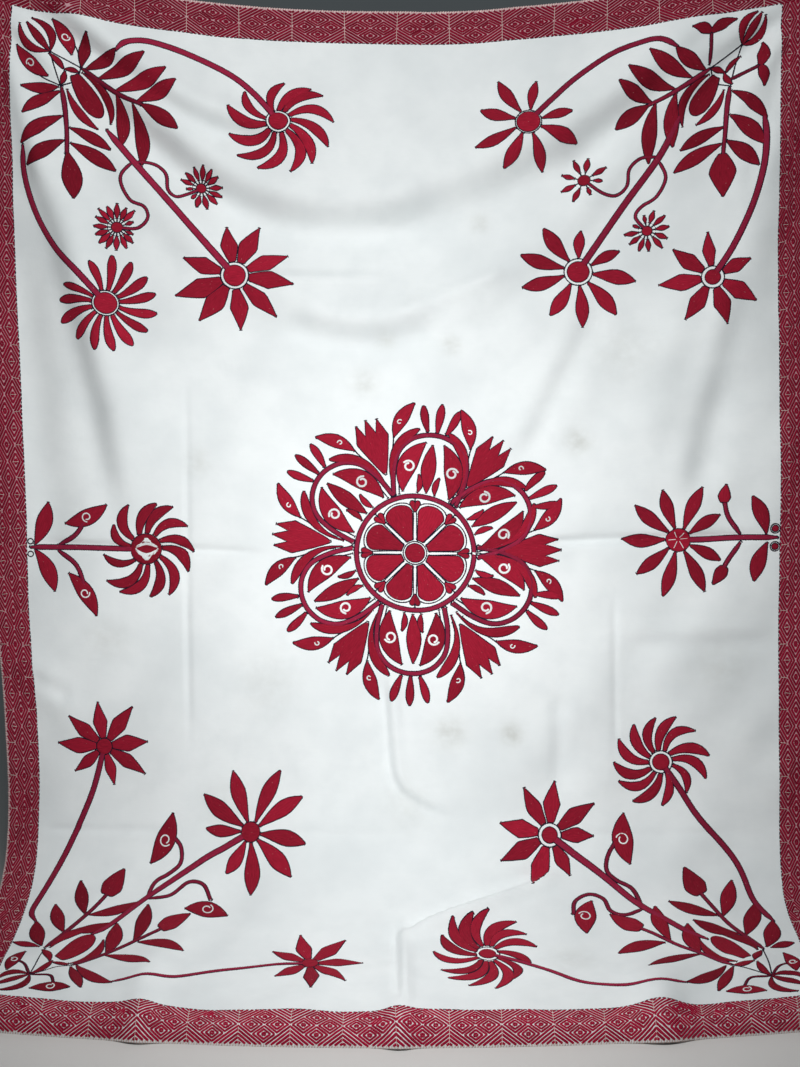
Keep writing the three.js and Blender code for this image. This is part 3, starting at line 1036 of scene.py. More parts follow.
class StitchTree(NodeBuilder):
    """A node tree that repeats one stitch along lines or on points, with named inputs."""

    INPUTS = (
        ("Thread", "NodeSocketObject"), ("Spacing", "NodeSocketFloat"), ("Size", "NodeSocketVector"),
        ("Unevenness", "NodeSocketFloat"), ("Tone", "NodeSocketFloat"), ("Seed", "NodeSocketInt"),
        ("Material", "NodeSocketMaterial"),
    )

    def __init__(self, name):
        super().__init__(bpy.data.node_groups.new(name, "GeometryNodeTree"))
        face = self.tree.interface
        face.new_socket("Geometry", in_out="INPUT", socket_type="NodeSocketGeometry")
        for label, kind in self.INPUTS:
            face.new_socket(label, in_out="INPUT", socket_type=kind)
        face.new_socket("Geometry", in_out="OUTPUT", socket_type="NodeSocketGeometry")
        self.given = self.tree.nodes.new("NodeGroupInput").outputs

    def carried(self, name):
        """A value that each point carries."""
        values = {"Name": name}
        return self.add("GeometryNodeInputNamedAttribute", values, data_type="FLOAT").outputs[0]

    def uneven_size(self, size):
        """Sizes that differ a little from stitch to stitch."""
        low = self.add("ShaderNodeMath", {0: 1.0, 1: self.given["Unevenness"]}, operation="SUBTRACT")
        high = self.add("ShaderNodeMath", {0: 1.0, 1: self.given["Unevenness"]}, operation="ADD")
        share = self.add(
            "FunctionNodeRandomValue",
            {0: low.outputs[0], 1: high.outputs[0], 8: self.given["Seed"]},
            data_type="FLOAT_VECTOR",
        )
        sized = self.add("ShaderNodeVectorMath", {0: size, 1: share.outputs[0]}, operation="MULTIPLY")
        return sized.outputs[0]

    def sew(self, points, rotation, size):
        """Puts the stitch on the points, gives each a tone, and ends the tree."""
        thread = self.add("GeometryNodeObjectInfo", {"Object": self.given["Thread"]})
        placed = self.add(
            "GeometryNodeInstanceOnPoints",
            {
                "Points": points, "Instance": thread.outputs["Geometry"],
                "Rotation": rotation, "Scale": self.uneven_size(size),
            },
        )
        values = {2: STITCH_TONES[0], 3: STITCH_TONES[1], 8: self.given["Seed"]}
        tone = self.add("FunctionNodeRandomValue", values, data_type="FLOAT").outputs[1]
        tone = self.add("ShaderNodeMath", {0: tone, 1: self.given["Tone"]}, operation="MULTIPLY")
        toned = self.add(
            "GeometryNodeStoreNamedAttribute",
            {"Geometry": placed.outputs[0], "Name": "tone", "Value": tone.outputs[0]},
            data_type="FLOAT",
            domain="INSTANCE",
        )
        real = self.add("GeometryNodeRealizeInstances", {"Geometry": toned.outputs[0]})
        made = self.add(
            "GeometryNodeSetMaterial", {"Geometry": real.outputs[0], "Material": self.given["Material"]}
        )
        self.add("NodeGroupOutput", {"Geometry": made.outputs[0]})
        return self.tree


def line_stitch_tree():
    """Stitches end to end along lines."""
    tree = bpy.data.node_groups.get("stitches_on_lines")
    if tree:
        return tree
    build = StitchTree("stitches_on_lines")
    curve = build.add("GeometryNodeMeshToCurve", {"Mesh": build.given["Geometry"]})
    values = {"Curve": curve.outputs[0], "Length": build.given["Spacing"]}
    even = build.add("GeometryNodeResampleCurve", values, mode="LENGTH")
    tangent = build.add("GeometryNodeInputTangent")
    turned = build.add(
        "FunctionNodeAlignRotationToVector", {"Vector": tangent.outputs[0]}, axis="X", pivot_axis="Z"
    )
    return build.sew(even.outputs[0], turned.outputs[0], build.given["Size"])


def point_stitch_tree():
    """Stitches on points that carry their own turn, length and width."""
    tree = bpy.data.node_groups.get("stitches_on_points")
    if tree:
        return tree
    build = StitchTree("stitches_on_points")
    rotation = build.add("ShaderNodeCombineXYZ", {"Z": build.carried("turn")})
    stretch = {"X": build.carried("run"), "Y": build.carried("wide"), "Z": 1.0}
    stretch = build.add("ShaderNodeCombineXYZ", stretch)
    size = build.add(
        "ShaderNodeVectorMath", {0: build.given["Size"], 1: stretch.outputs[0]}, operation="MULTIPLY"
    )
    return build.sew(build.given["Geometry"], rotation.outputs[0], size.outputs[0])


def sewn_stitches(name, base, tree, thread, cloth, **values):
    """Runs a stitching tree on flat geometry and hangs the stitches on the cloth, as a plain mesh."""
    helper = bpy.data.objects.new(name + "_flat", base)
    bpy.context.scene.collection.objects.link(helper)
    modifier = helper.modifiers.new("Stitches", "NODES")
    modifier.node_group = tree
    values["Thread"] = thread
    values.setdefault("Tone", 1.0)
    for item in tree.interface.items_tree:
        if item.in_out == "INPUT" and item.name in values:
            modifier[item.identifier] = values[item.name]
    bpy.context.view_layer.update()
    graph = bpy.context.evaluated_depsgraph_get()
    mesh = bpy.data.meshes.new_from_object(helper.evaluated_get(graph))
    mesh.name = name
    bpy.data.objects.remove(helper)
    bpy.data.meshes.remove(base)
    bpy.data.objects.remove(thread)
    places = np.empty(len(mesh.vertices) * 3)
    mesh.vertices.foreach_get("co", places)
    places = places.reshape(-1, 3) / MM
    hung = cloth.hang(places[:, 0], -places[:, 1], places[:, 2])
    mesh.vertices.foreach_set("co", hung.ravel())
    mesh.update()
    mesh.shade_smooth()
    return mesh


# Height of an outline stitch, and how far its foot lies in the cloth, in metres.
OUTLINE_RISE = 0.0009
OUTLINE_FOOT = -0.0003
# How outline stitches follow each other.
OUTLINE_OVERLAP = 1.25
OUTLINE_UNEVENNESS = 0.14
OUTLINE_SEED = 7


def outline_thread_shape():
    """One back stitch: a low arch, lower and narrower at its ends."""
    foot = OUTLINE_FOOT / OUTLINE_RISE
    ends = ((0.36, foot), (0.0, 0.5), (-0.36, foot))
    middle = ((0.5, foot), (0.0, 1.0), (-0.5, foot))
    return thread_shape("outline_stitch", ((-0.5, ends), (0.0, middle), (0.5, ends)))


def finish_sewing(name, sewing):
    """Makes the pieces of one part of the embroidery: filling, outline and curls."""
    cloth = hanging_cloth()
    thread = bpy.context.scene.quilt_thread
    filling = patches_mesh(name + "_filling", sewing.patches, cloth)
    add_piece(name + "_filling", filling, "red_filling")
    outline = sewn_stitches(
        name + "_outline", flat_lines_mesh(name, sewing.lines), line_stitch_tree(),
        outline_thread_shape(), cloth,
        Spacing=thread.outline_pitch,
        Size=(thread.outline_pitch * OUTLINE_OVERLAP, thread.outline_width, OUTLINE_RISE),
        Unevenness=OUTLINE_UNEVENNESS, Seed=OUTLINE_SEED, Material=finished("outline_thread"),
    )
    add_piece(name + "_outline", outline, "outline_thread")
    if sewing.white:
        curls = patches_mesh(name + "_curls", sewing.white, cloth)
        add_piece(name + "_curls", curls, "white_thread")


class Petal(NamedTuple):
    """A kind of petal: width by reach, size beside the stem, bend, turn on the way out, and outline."""

    width: float
    beside: float
    bend: float
    sweep: float
    shape: Shape


PETALS = {
    "lens": Petal(0.24, 0.8, 0.03, 0, Shape(0.58, 0.2, 0.12, 0.85)),
    "kite": Petal(0.31, 0.84, 0.02, 0, Shape(0.45, 0.8, 0.35, 0.9)),
    "wheel": Petal(0.2, 0.85, 0.22, 32, Shape(0.58, 0.15, 0.35, 0.7)),
    "strap": Petal(0.185, 0.85, -0.05, -5, Shape(0.7, 0.2, 0.35, 0.55)),
    "daisy": Petal(0.23, 0.7, 0.0, 0, Shape(0.5, 0.4, 0.1, 0.9)),
}


class Flower(NamedTuple):
    """A flower on its stem: its place, reach and petals, and the stem's points from its root."""

    across: float
    down: float
    reach: float
    petals: int
    kind: str
    disc: float
    ring: float
    stem: tuple
    stem_width: float
    tall: float = 1.0


DAISY_STALK = 7.0
STEM_FULLNESS = 0.8
STEM_CLEAR = 11.0
# How much petals differ by hand.
TURN_SPREAD, REACH_SPREAD, WIDTH_SPREAD = 0.1, 0.07, 0.1
SWEEP_SPREAD, BEND_SPREAD = 0.2, 0.3
# A curled bud, by its width: bend of its leaf, and the curl's place and radius, its turns and thread.
BUD_BEND = 0.08
ARROW_BEND = 0.02
BUD_CURL_OFF, BUD_CURL_RADIUS = 0.2, 0.32
BUD_CURL_TURNS, BUD_CURL_WIDTH = 1.2, 3.6


def sew_flower(sew, flower):
    """Petals round a disc, with shorter ones beside the stem, and the stem over them."""
    centre = np.array((flower.across, flower.down), float)
    kind = PETALS[flower.kind]
    last = np.array(flower.stem[-1], float) - centre
    stem_turn = math.degrees(math.atan2(-last[1], last[0]))
    step = 360 / flower.petals
    inner = flower.disc + flower.ring
    daisy = flower.kind == "daisy"
    stalk = DAISY_STALK if daisy else 1.0

    def at(reach, turn):
        place = polar((0, 0), reach, turn)
        return centre + place * (1 / math.sqrt(flower.tall), math.sqrt(flower.tall))

    for petal in range(flower.petals):
        size = kind.beside if petal in (0, flower.petals - 1) else 1.0
        turn = stem_turn + STEM_CLEAR + (360 - 2 * STEM_CLEAR) / flower.petals * (petal + 0.5)
        turn += step * TURN_SPREAD * sew.hand.uniform(-1, 1) + kind.sweep / 2
        reach = flower.reach * size * sew.uneven(REACH_SPREAD)
        width = flower.reach * kind.width * size * sew.uneven(WIDTH_SPREAD)
        root = at(inner + stalk, turn)
        tip = at(reach, turn - kind.sweep * sew.uneven(SWEEP_SPREAD))
        sew.leaf(root, tip, width, kind.bend * sew.uneven(BEND_SPREAD), kind.shape)
        if daisy:
            sew.line([at(flower.disc, turn), root])
    sew.layer += 1
    if flower.ring:
        sew.ring(centre, inner)
    sew.stem([*flower.stem, centre], flower.stem_width * STEM_FULLNESS)
    sew.layer += 1
    sew.disc(centre, flower.disc)
    sew.layer -= 2


def spiral_bud(sew, first, second, width, side):
    """A bud of two leaf points with a white curl at its middle, on the left for a positive side."""
    first, second = np.array(first, float), np.array(second, float)
    run = second - first
    left = turned_left(run) / np.hypot(*run)
    sew.leaf(first, second, width, BUD_BEND * side, LENS)
    turn = math.degrees(math.atan2(-left[1] * side, left[0] * side))
    middle = (first + second) / 2 + left * side * width * BUD_CURL_OFF
    sew.curl(middle, width * BUD_CURL_RADIUS, turn, BUD_CURL_TURNS, BUD_CURL_WIDTH)


class Corner(NamedTuple):
    """A corner of the white field, and the ways in from it."""

    across: float
    down: float
    way_across: int
    way_down: int

    def at(self, place):
        """The flat place for a distance in from the side and from the end of the field."""
        across = self.across + self.way_across * place[0]
        return np.array((across, self.down + self.way_down * place[1]), float)

    def path(self, *places):
        """Several flat places."""
        return [self.at(place) for place in places]

    @property
    def hand(self):
        """Minus one where the corner is a mirror image of the top left one."""
        return self.way_across * self.way_down


# Corner sprays, by distances in from the side and the end of the field. A leaf is its root, tip, width
# and bend.
TOP_LEAVES = (
    ((140, 100), (194, 58), 29, -0.05),
    ((164, 112), (245, 52), 32, -0.06),
    ((195, 132), (285, 77), 32, -0.06),
    ((236, 152), (306, 102), 31, -0.04),
    ((194, 138), (202, 240), 31, 0.05),
    ((228, 154), (242, 270), 31, 0.05),
    ((243, 156), (306, 196), 33, 0.04),
    ((92, 148), (24, 203), 26, -0.06),
    ((97, 194), (25, 257), 30, -0.06),
    ((102, 240), (36, 297), 30, -0.04),
    ((108, 216), (188, 254), 25, 0.05),
    ((110, 246), (196, 291), 27, 0.04),
    ((132, 108), (178, 202), 19, 0.19),
    ((104, 142), (160, 210), 17, -0.11),
    ((74, 80), (102, 107), 12, 0.08),
    ((102, 107), (129, 102), 12, 0.08),
    ((103, 108), (93, 138), 12, 0.08),
)
TOP_STEMS = (
    ((130, 98), (165, 119), (205, 141), (246, 157)),
    ((95, 138), (101, 180), (105, 240), (106, 268)),
)
BOTTOM_LEAVES = (
    ((58, 176), (8, 192), 22, 0.03),
    ((64, 178), (36, 262), 32, -0.04),
    ((92, 228), (60, 312), 33, -0.04),
    ((122, 285), (92, 372), 33, -0.03),
    ((100, 230), (182, 268), 28, 0.06),
    ((130, 284), (218, 324), 30, 0.05),
    ((186, 172), (194, 262), 32, 0.05),
    ((230, 216), (246, 312), 34, 0.04),
    ((142, 122), (214, 62), 30, 0.1),
    ((132, 114), (161, 38), 26, 0.0),
    ((186, 166), (280, 120), 31, -0.06),
    ((240, 212), (328, 182), 31, -0.06),
    ((80, 172), (142, 236), 22, -0.16),
    ((124, 130), (176, 214), 20, 0.16),
    ((62, 80), (92, 124), 15, 0.08),
    ((92, 126), (72, 168), 17, 0.08),
    ((94, 124), (130, 122), 16, 0.08),
)
BOTTOM_STEMS = (
    ((70, 172), (98, 232), (130, 292), (158, 345)),
    ((132, 122), (184, 170), (236, 218), (282, 256)),
)
TOP_BULB = ((118, 114), (162, 186), 36)
BOTTOM_BULB = ((104, 140), (152, 226), 38)
TOP_JOINTS = ((130, 98), (94, 138))
TOP_CROOK = (120, 125)
BOTTOM_JOINTS = ((72, 170), (132, 121))

# Closed buds at the corners of the field: the root and the tips of the three petals.
TOP_LEFT_BUD = ((74, 76), ((36, 16), (29, 26), (18, 32)))
TOP_RIGHT_BUD = ((72, 60), ((46, 8), (39, 10), (32, 16)))
BOTTOM_BUD = ((62, 78), ((16, 14), (3, 30), (6, 54)))
CLOSED_BUD_WIDTH = 15.0
CLOSED_BUD_BENDS = (-0.27, 0.0, 0.27)

# Leaf pairs beside the top right bud: joint, middle and the two tips. The broad leaf ends the branch.
LEAF_PAIRS = (
    ((133, 92), (132, 34), ((168, 20), (84, 16))),
    ((98, 126), (42, 108), ((33, 62), (34, 148))),
)
PAIR_WIDTH, PAIR_BENDS = 22, (0.1, -0.1)
BROAD_LEAF = ((107, 264), (107, 346), 50)
# Curled buds beside the top left bud: joint, the two ends of the bud, and the side of its curl. Each has a
# bent stalk and a slim leaf beside it, and the long leaf ends the branch.
CURLED_BUDS = (
    ((130, 98), (76, 12), (112, 76), 1),
    ((94, 138), (12, 72), (72, 122), -1),
)
CURLED_BUD_WIDTH = 27
STALK_END, STALK_BEND = np.array((8, -8)), np.array((5, -3))
LONG_LEAF = ((106, 262), (119, 350), 35)
SLIM_LEAVES = (((131, 97), (141, 28), 21), ((90, 140), (22, 148), 20))
SLIM_BEND = 0.03
# Curled buds beside the bottom buds: the two ends, width and side, then the rest of each one's stem. Arrow
# buds end the branches: root, tip and width.
BOTTOM_BUDS = (((37, 156), (17, 88), 25, 1), ((74, 26), (146, 34), 29, -1))
BOTTOM_BUD_STEMS = (((45, 112), (24, 124)), ((100, 76), (114, 46)))
BOTTOM_ARROWS = (((154, 338), (182, 394), 42), ((276, 252), (326, 294), 36))

# Leaves and buds by hand: share of their full width, tones, and how far their ends wander.
LEAF_FULLNESS = 0.88
LEAF_TONE, BULB_TONE, BUD_TONE, PAIR_TONE, SHOOT_TONE = 0.95, 0.95, 0.9, 0.85, 0.8
ROOT_WANDER, TIP_WANDER = 2, 5
# Widths of the stems at their root and end.
BRANCH_STEM, PAIR_STEM, BUD_STEM, SHOOT_STEM, SIDE_STEM = (9, 6), (6, 5), (5, 4), (7, 6), (8, 7)


def sew_branches(sew, corner, leaves, stems, bulb):
    """The leaf branches of a corner spray, the stems over them, and the bulb between them."""
    for root, tip, width, bend in leaves:
        sew.leaf(
            corner.at(root) + sew.hand.uniform(-ROOT_WANDER, ROOT_WANDER, 2),
            corner.at(tip) + sew.hand.uniform(-TIP_WANDER, TIP_WANDER, 2),
            width * LEAF_FULLNESS * sew.uneven(WIDTH_SPREAD),
            bend * corner.hand,
            tone=LEAF_TONE,
        )
    sew.layer += 1
    for stem in stems:
        sew.stem(corner.path(*stem), *BRANCH_STEM)
    sew.layer -= 1
    root, tip, width = bulb
    sew.leaf(*corner.path(root, tip), width, 0.0, BULB, BULB_TONE)


def sew_closed_bud(sew, corner, bud):
    """Three petals of a closed bud."""
    root, tips = bud
    for tip, bend in zip(tips, CLOSED_BUD_BENDS):
        sew.leaf(*corner.path(root, tip), CLOSED_BUD_WIDTH, bend * corner.hand, LENS, BUD_TONE)


def sew_leaf_pairs(sew, corner):
    """Two leaf pairs on stalks, and a broad leaf at the end of the branch."""
    for joint, middle, wings in LEAF_PAIRS:
        sew.stem(corner.path(joint, middle), *PAIR_STEM, tone=SHOOT_TONE)
        for wing, bend in zip(wings, PAIR_BENDS):
            sew.leaf(*corner.path(middle, wing), PAIR_WIDTH, bend * corner.hand, SPADE, PAIR_TONE)
    root, tip, width = BROAD_LEAF
    sew.leaf(*corner.path(root, tip), width, 0.0, SPADE, BUD_TONE)


def sew_curled_buds(sew, corner):
    """Two curled buds on stalks, each with a slim leaf, and the long leaf at the end of the branch."""
    bend = SLIM_BEND * corner.hand
    root, tip, width = LONG_LEAF
    sew.leaf(*corner.path(root, tip), width, bend, LEAF, BUD_TONE)
    for joint, first, second, side in CURLED_BUDS:
        spiral_bud(sew, *corner.path(first, second), CURLED_BUD_WIDTH, side * corner.hand)
        middle = (np.array(first) + np.array(second)) / 2 + STALK_END * side
        elbow = (np.array(joint) + middle) / 2 + STALK_BEND * side
        sew.line(corner.path(joint, elbow, middle))
    for root, tip, width in SLIM_LEAVES:
        sew.leaf(*corner.path(root, tip), width, bend, LENS, BUD_TONE)


def sew_top_spray(sew, corner, bud, sew_beside):
    """A top corner's spray, with its closed bud and what is beside it."""
    sew_branches(sew, corner, TOP_LEAVES, TOP_STEMS, TOP_BULB)
    sew_closed_bud(sew, corner, bud)
    for joint in TOP_JOINTS:
        sew.line(corner.path(bud[0], joint))
    sew.line(corner.path(TOP_JOINTS[0], TOP_CROOK, TOP_JOINTS[1]))
    sew_beside(sew, corner)


def sew_bottom_spray(sew, corner):
    """A bottom corner's spray, with arrow buds at the ends of its branches."""
    sew_branches(sew, corner, BOTTOM_LEAVES, BOTTOM_STEMS, BOTTOM_BULB)
    sew_closed_bud(sew, corner, BOTTOM_BUD)
    for root, tip, width in BOTTOM_ARROWS:
        sew.leaf(*corner.path(root, tip), width, ARROW_BEND, ARROW)
    for joint in BOTTOM_JOINTS:
        sew.line(corner.path(BOTTOM_BUD[0], joint))
    for first, second, width, side in BOTTOM_BUDS:
        spiral_bud(sew, *corner.path(first, second), width, side * corner.hand)
    for places in BOTTOM_BUD_STEMS:
        sew.stem(corner.path(BOTTOM_BUD[0], *places), *BUD_STEM, tone=SHOOT_TONE)


class Spray(NamedTuple):
    """A corner's spray: its name, place, seed and tones, its flowers, and the curled shoots beside them.

    A shoot is its stem, the two ends of its bud and the side of the bud's curl.
    """

    name: str
    corner: Corner
    seed: int
    leaf_tone: float
    flower_tone: float
    flowers: tuple
    shoots: tuple = ()


TOP_LEFT = Spray(
    "top_left", Corner(-FIELD_HALF, FIELD_TOP, 1, 1), 11, 0.79, 1.12,
    (
        Flower(
            -215, 231, 98, 12, "wheel", 17, 5,
            ((-514, 120), (-489, 97), (-447, 91), (-377, 108), (-305, 140), (-259, 177)), 13,
        ),
        Flower(
            -532, 605, 92, 14, "strap", 20, 4,
            ((-683, 317), (-682, 371), (-662, 441), (-627, 501), (-578, 552)), 13,
        ),
        Flower(-297, 543, 114, 9, "kite", 20, 6, ((-534, 270), (-476, 337), (-418, 402), (-350, 482)), 14),
        Flower(
            -360, 369, 42, 13, "daisy", 9, 0,
            ((-488, 330), (-450, 328), (-426, 345), (-420, 378), (-405, 391), (-384, 383)), 6,
        ),
        Flower(
            -512, 458, 44, 15, "daisy", 10, 0,
            ((-484, 328), (-506, 362), (-490, 402), (-462, 416), (-456, 438), (-476, 458)), 6,
        ),
    ),
)
TOP_RIGHT = Spray(
    "top_right", Corner(FIELD_HALF, FIELD_TOP, -1, 1), 23, 0.79, 0.94,
    (
        Flower(
            240, 237, 100, 8, "lens", 21, 3,
            ((515, 118), (480, 96), (440, 98), (390, 114), (330, 152), (285, 192)), 12,
        ),
        Flower(
            582, 558, 98, 7, "kite", 14, 7,
            ((676, 258), (682, 300), (676, 360), (655, 430), (622, 500)), 13,
        ),
        Flower(336, 538, 106, 9, "lens", 20, 6, ((524, 242), (488, 317), (425, 405), (375, 480)), 14),
        Flower(
            347, 358, 46, 8, "daisy", 11, 0,
            ((484, 322), (452, 322), (430, 342), (426, 374), (405, 392), (376, 384)), 6,
        ),
        Flower(
            463, 463, 42, 11, "daisy", 9, 0,
            ((482, 326), (497, 362), (480, 398), (452, 416), (442, 436)), 6,
        ),
    ),
)
BOTTOM_LEFT = Spray(
    "bottom_left", Corner(-FIELD_HALF, FIELD_FOOT, 1, -1), 37, 0.76, 0.94,
    (
        Flower(
            -574, 1448, 92, 8, "kite", 15, 0,
            ((-677, 1812), (-692, 1780), (-672, 1705), (-632, 1610), (-598, 1530)), 12,
        ),
        Flower(
            -282, 1605, 118, 9, "lens", 18, 0,
            ((-560, 1840), (-533, 1812), (-473, 1735), (-378, 1660), (-330, 1632)), 13,
        ),
        Flower(
            -149, 1908, 94, 7, "kite", 14, 0,
            ((-494, 2006), (-445, 1996), (-397, 1980), (-289, 1933), (-220, 1915)), 9,
        ),
    ),
    (
        (
            ((-473, 1735), (-462, 1700), (-436, 1682), (-416, 1662), (-418, 1632), (-436, 1612)),
            (-476, 1662), (-438, 1572), -1,
        ),
        (
            ((-470, 1738), (-428, 1732), (-396, 1702), (-366, 1706), (-348, 1738)),
            (-394, 1762), (-312, 1772), 1,
        ),
    ),
)
BOTTOM_RIGHT = Spray(
    "bottom_right", Corner(FIELD_HALF, FIELD_FOOT, -1, -1), 41, 0.8, 0.98,
    (
        Flower(
            490, 1478, 90, 12, "wheel", 15, 6,
            ((676, 1812), (650, 1745), (622, 1660), (558, 1582), (522, 1525)), 12,
        ),
        Flower(
            283, 1610, 100, 8, "kite", 14, 7,
            ((546, 1850), (503, 1818), (443, 1758), (373, 1683), (322, 1640)), 14,
        ),
        Flower(
            155, 1883, 100, 14, "wheel", 14, 7,
            ((494, 2006), (420, 2010), (343, 1992), (262, 1945), (210, 1905)), 10, 1.35,
        ),
    ),
    (
        (
            ((443, 1758), (428, 1716), (400, 1696), (384, 1676), (388, 1648), (404, 1622)),
            (428, 1664), (420, 1572), 1,
        ),
        (
            ((446, 1762), (410, 1776), (384, 1766), (374, 1738), (348, 1726), (322, 1742), (316, 1776)),
            (352, 1742), (334, 1822), -1,
        ),
    ),
)
SHOOT_BUD = 38


class QUILT_OT_cloth(bpy.types.Operator):
    """Hang the white cloth with its folds and creases"""

    bl_idname = "quilt.cloth"
    bl_label = "Hang cloth"

    def execute(self, context):
        piece = add_piece("quilt_sheet", cloth_mesh(hanging_cloth()), "woven_cotton")
        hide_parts(CLOTH_NODE)
        return {"FINISHED"}


class QUILT_OT_sprays(bpy.types.Operator):
    """Sew the leaf sprays and flowers in the four corners"""

    bl_idname = "quilt.sprays"
    bl_label = "Sew corner sprays"

    def execute(self, context):
        for spray in (TOP_LEFT, TOP_RIGHT, BOTTOM_LEFT, BOTTOM_RIGHT):
            sew = Sewing(spray.seed, spray.leaf_tone)
            if spray is TOP_LEFT:
                sew_top_spray(sew, spray.corner, TOP_LEFT_BUD, sew_curled_buds)
            elif spray is TOP_RIGHT:
                sew_top_spray(sew, spray.corner, TOP_RIGHT_BUD, sew_leaf_pairs)
            else:
                sew_bottom_spray(sew, spray.corner)
            for stem, first, second, side in spray.shoots:
                sew.stem(stem, *SHOOT_STEM)
                spiral_bud(sew, first, second, SHOOT_BUD, side)
            sew.tone = spray.flower_tone
            for flower in spray.flowers:
                sew_flower(sew, flower)
            finish_sewing("spray_" + spray.name, sew)
        return {"FINISHED"}


# Flowers that grow in from the two sides, half-way down. A leaf is its root, tip, width and bend, and a
# curled bud its two ends and the side of its curl.
LEFT_FLOWER = Flower(-477, 1072, 92, 12, "wheel", 29, 0, ((-702, 1069), (-600, 1070), (-510, 1072)), 11)
LEFT_LEAVES = (((-692, 1064), (-665, 984), 30, -0.05), ((-692, 1074), (-654, 1152), 30, 0.07))
LEFT_SHOOTS = (((-648, 1066), (-610, 1044), (-590, 1012)), ((-648, 1074), (-610, 1104), (-594, 1150)))
LEFT_BUDS = (((-632, 1024), (-550, 988), -1), ((-626, 1118), (-576, 1200), 1))
LEFT_BUD_WIDTH = 30
LEFT_SEED, LEFT_TONE = 53, 0.82
LEFT_RINGS = ((-700, 1058), (-700, 1082))
LEFT_RING = 5
EYE_WHITE = ((-503, 1072), (-449, 1072), 50)
EYE_LENS = ((-497, 1072), (-455, 1072), 19)
EYE_LAYERS, LENS_LAYERS = 3, 2
RIGHT_FLOWER = Flower(521, 1055, 106, 9, "lens", 22, 0, ((704, 1051), (640, 1051), (560, 1055)), 12)
RIGHT_LEAVES = (((682, 1044), (655, 972), 27, -0.05), ((684, 1060), (660, 1134), 28, -0.05))
RIGHT_SHOOTS = (((636, 1046), (612, 1012), (604, 982)), ((636, 1058), (614, 1090), (602, 1112)))
RIGHT_ARROWS = (((603, 984), (608, 950), 23), ((606, 1106), (584, 1140), 24))
RIGHT_DISCS = ((698, 1034), (698, 1068))
RIGHT_RING, RIGHT_DISC = 9, 6
RIGHT_SEED, RIGHT_TONE = 67, 0.92
RAY_TURNS = (5, 55, 115, 185, 240, 300)
RAY_START, RAY_END, RAY_STEP, RAY_WIDTH = 2, 20, 3, 0.9
RAY_LAYERS = 4


def sew_side_shoots(sew, leaves, shoots):
    """The leaves and shoots beside the stem of a side flower."""
    for leaf in leaves:
        sew.leaf(*leaf)
    for shoot in shoots:
        sew.stem(shoot, *SIDE_STEM)


def sew_left_flower(sew):
    """The left flower, with curled buds, and a lens in a white square on its disc."""
    sew_side_shoots(sew, LEFT_LEAVES, LEFT_SHOOTS)
    for first, second, side in LEFT_BUDS:
        spiral_bud(sew, first, second, LEFT_BUD_WIDTH, side)
    sew_flower(sew, LEFT_FLOWER)
    sew.layer += EYE_LAYERS
    start, end, width = EYE_WHITE
    eye = spline([start, end])
    share = np.linspace(0, 1, len(eye))
    sew.strip(eye, width / 2 * np.minimum(2 * share, 2 - 2 * share), white=True)
    sew.layer += LENS_LAYERS
    sew.leaf(*EYE_LENS, shape=LENS)
    for place in LEFT_RINGS:
        sew.ring(place, LEFT_RING)


def sew_right_flower(sew):
    """The right flower, with arrow buds, and white rays on its disc."""
    sew_side_shoots(sew, RIGHT_LEAVES, RIGHT_SHOOTS)
    for root, tip, width in RIGHT_ARROWS:
        sew.leaf(root, tip, width, ARROW_BEND, ARROW)
    sew_flower(sew, RIGHT_FLOWER)
    for place in RIGHT_DISCS:
        sew.ring(place, RIGHT_RING)
        sew.disc(place, RIGHT_DISC)
    centre = (RIGHT_FLOWER.across, RIGHT_FLOWER.down)
    sew.layer += RAY_LAYERS
    for turn in RAY_TURNS:
        line = spline([polar(centre, RAY_START, turn), polar(centre, RAY_END, turn)], RAY_STEP)
        sew.strip(line, np.full(len(line), RAY_WIDTH), white=True, outline=False)


class QUILT_OT_side_flowers(bpy.types.Operator):
    """Sew the two flowers that grow in from the sides"""

    bl_idname = "quilt.side_flowers"
    bl_label = "Sew side flowers"

    def execute(self, context):
        left = Sewing(LEFT_SEED, LEFT_TONE)
        sew_left_flower(left)
        finish_sewing("side_flower_left", left)
        right = Sewing(RIGHT_SEED, RIGHT_TONE)
        sew_right_flower(right)
        finish_sewing("side_flower_right", right)
        return {"FINISHED"}


# The medallion, in millimetres from its centre and degrees from a lobe's or tulip's axis.
MEDALLION = (34, 1078)
MEDALLION_SEED, MEDALLION_TONE = 5, 0.96
LOBE_TURNS = (80, 26, -24, -92, -155, -220)
CORE = 18.0
CORE_RING = 22.0
INNER_PETALS = 8
PETAL_ROOT, PETAL_REACH = 25.0, 96.0
PETAL_WIDTH = 51.0
PETAL_WIDTH_SPREAD = 0.03
PETAL_GAP = 4.5
HEART_ROOT, HEART_TIP = 80.0, 101.0
HEART_SPREAD = 3.2
HEART_WIDTH, HEART_BEND = 10.0, 0.04
HEART_TAIL = (98, 105)
RING_MIDDLE = 110.0
RING_WIDTH = 8.0
RING_STEPS = 72
LOBE_ARCH = ((116, -30), (160, -24.5), (197, -19), (218, -12.5), (228, -6), (231, 0))
LOBE_BAND = 8.0
FINGER = Shape(0.62, 0.0, 0.25, 0.6)
BLADE = Shape(0.74, 0.1, 0.1, 0.6)


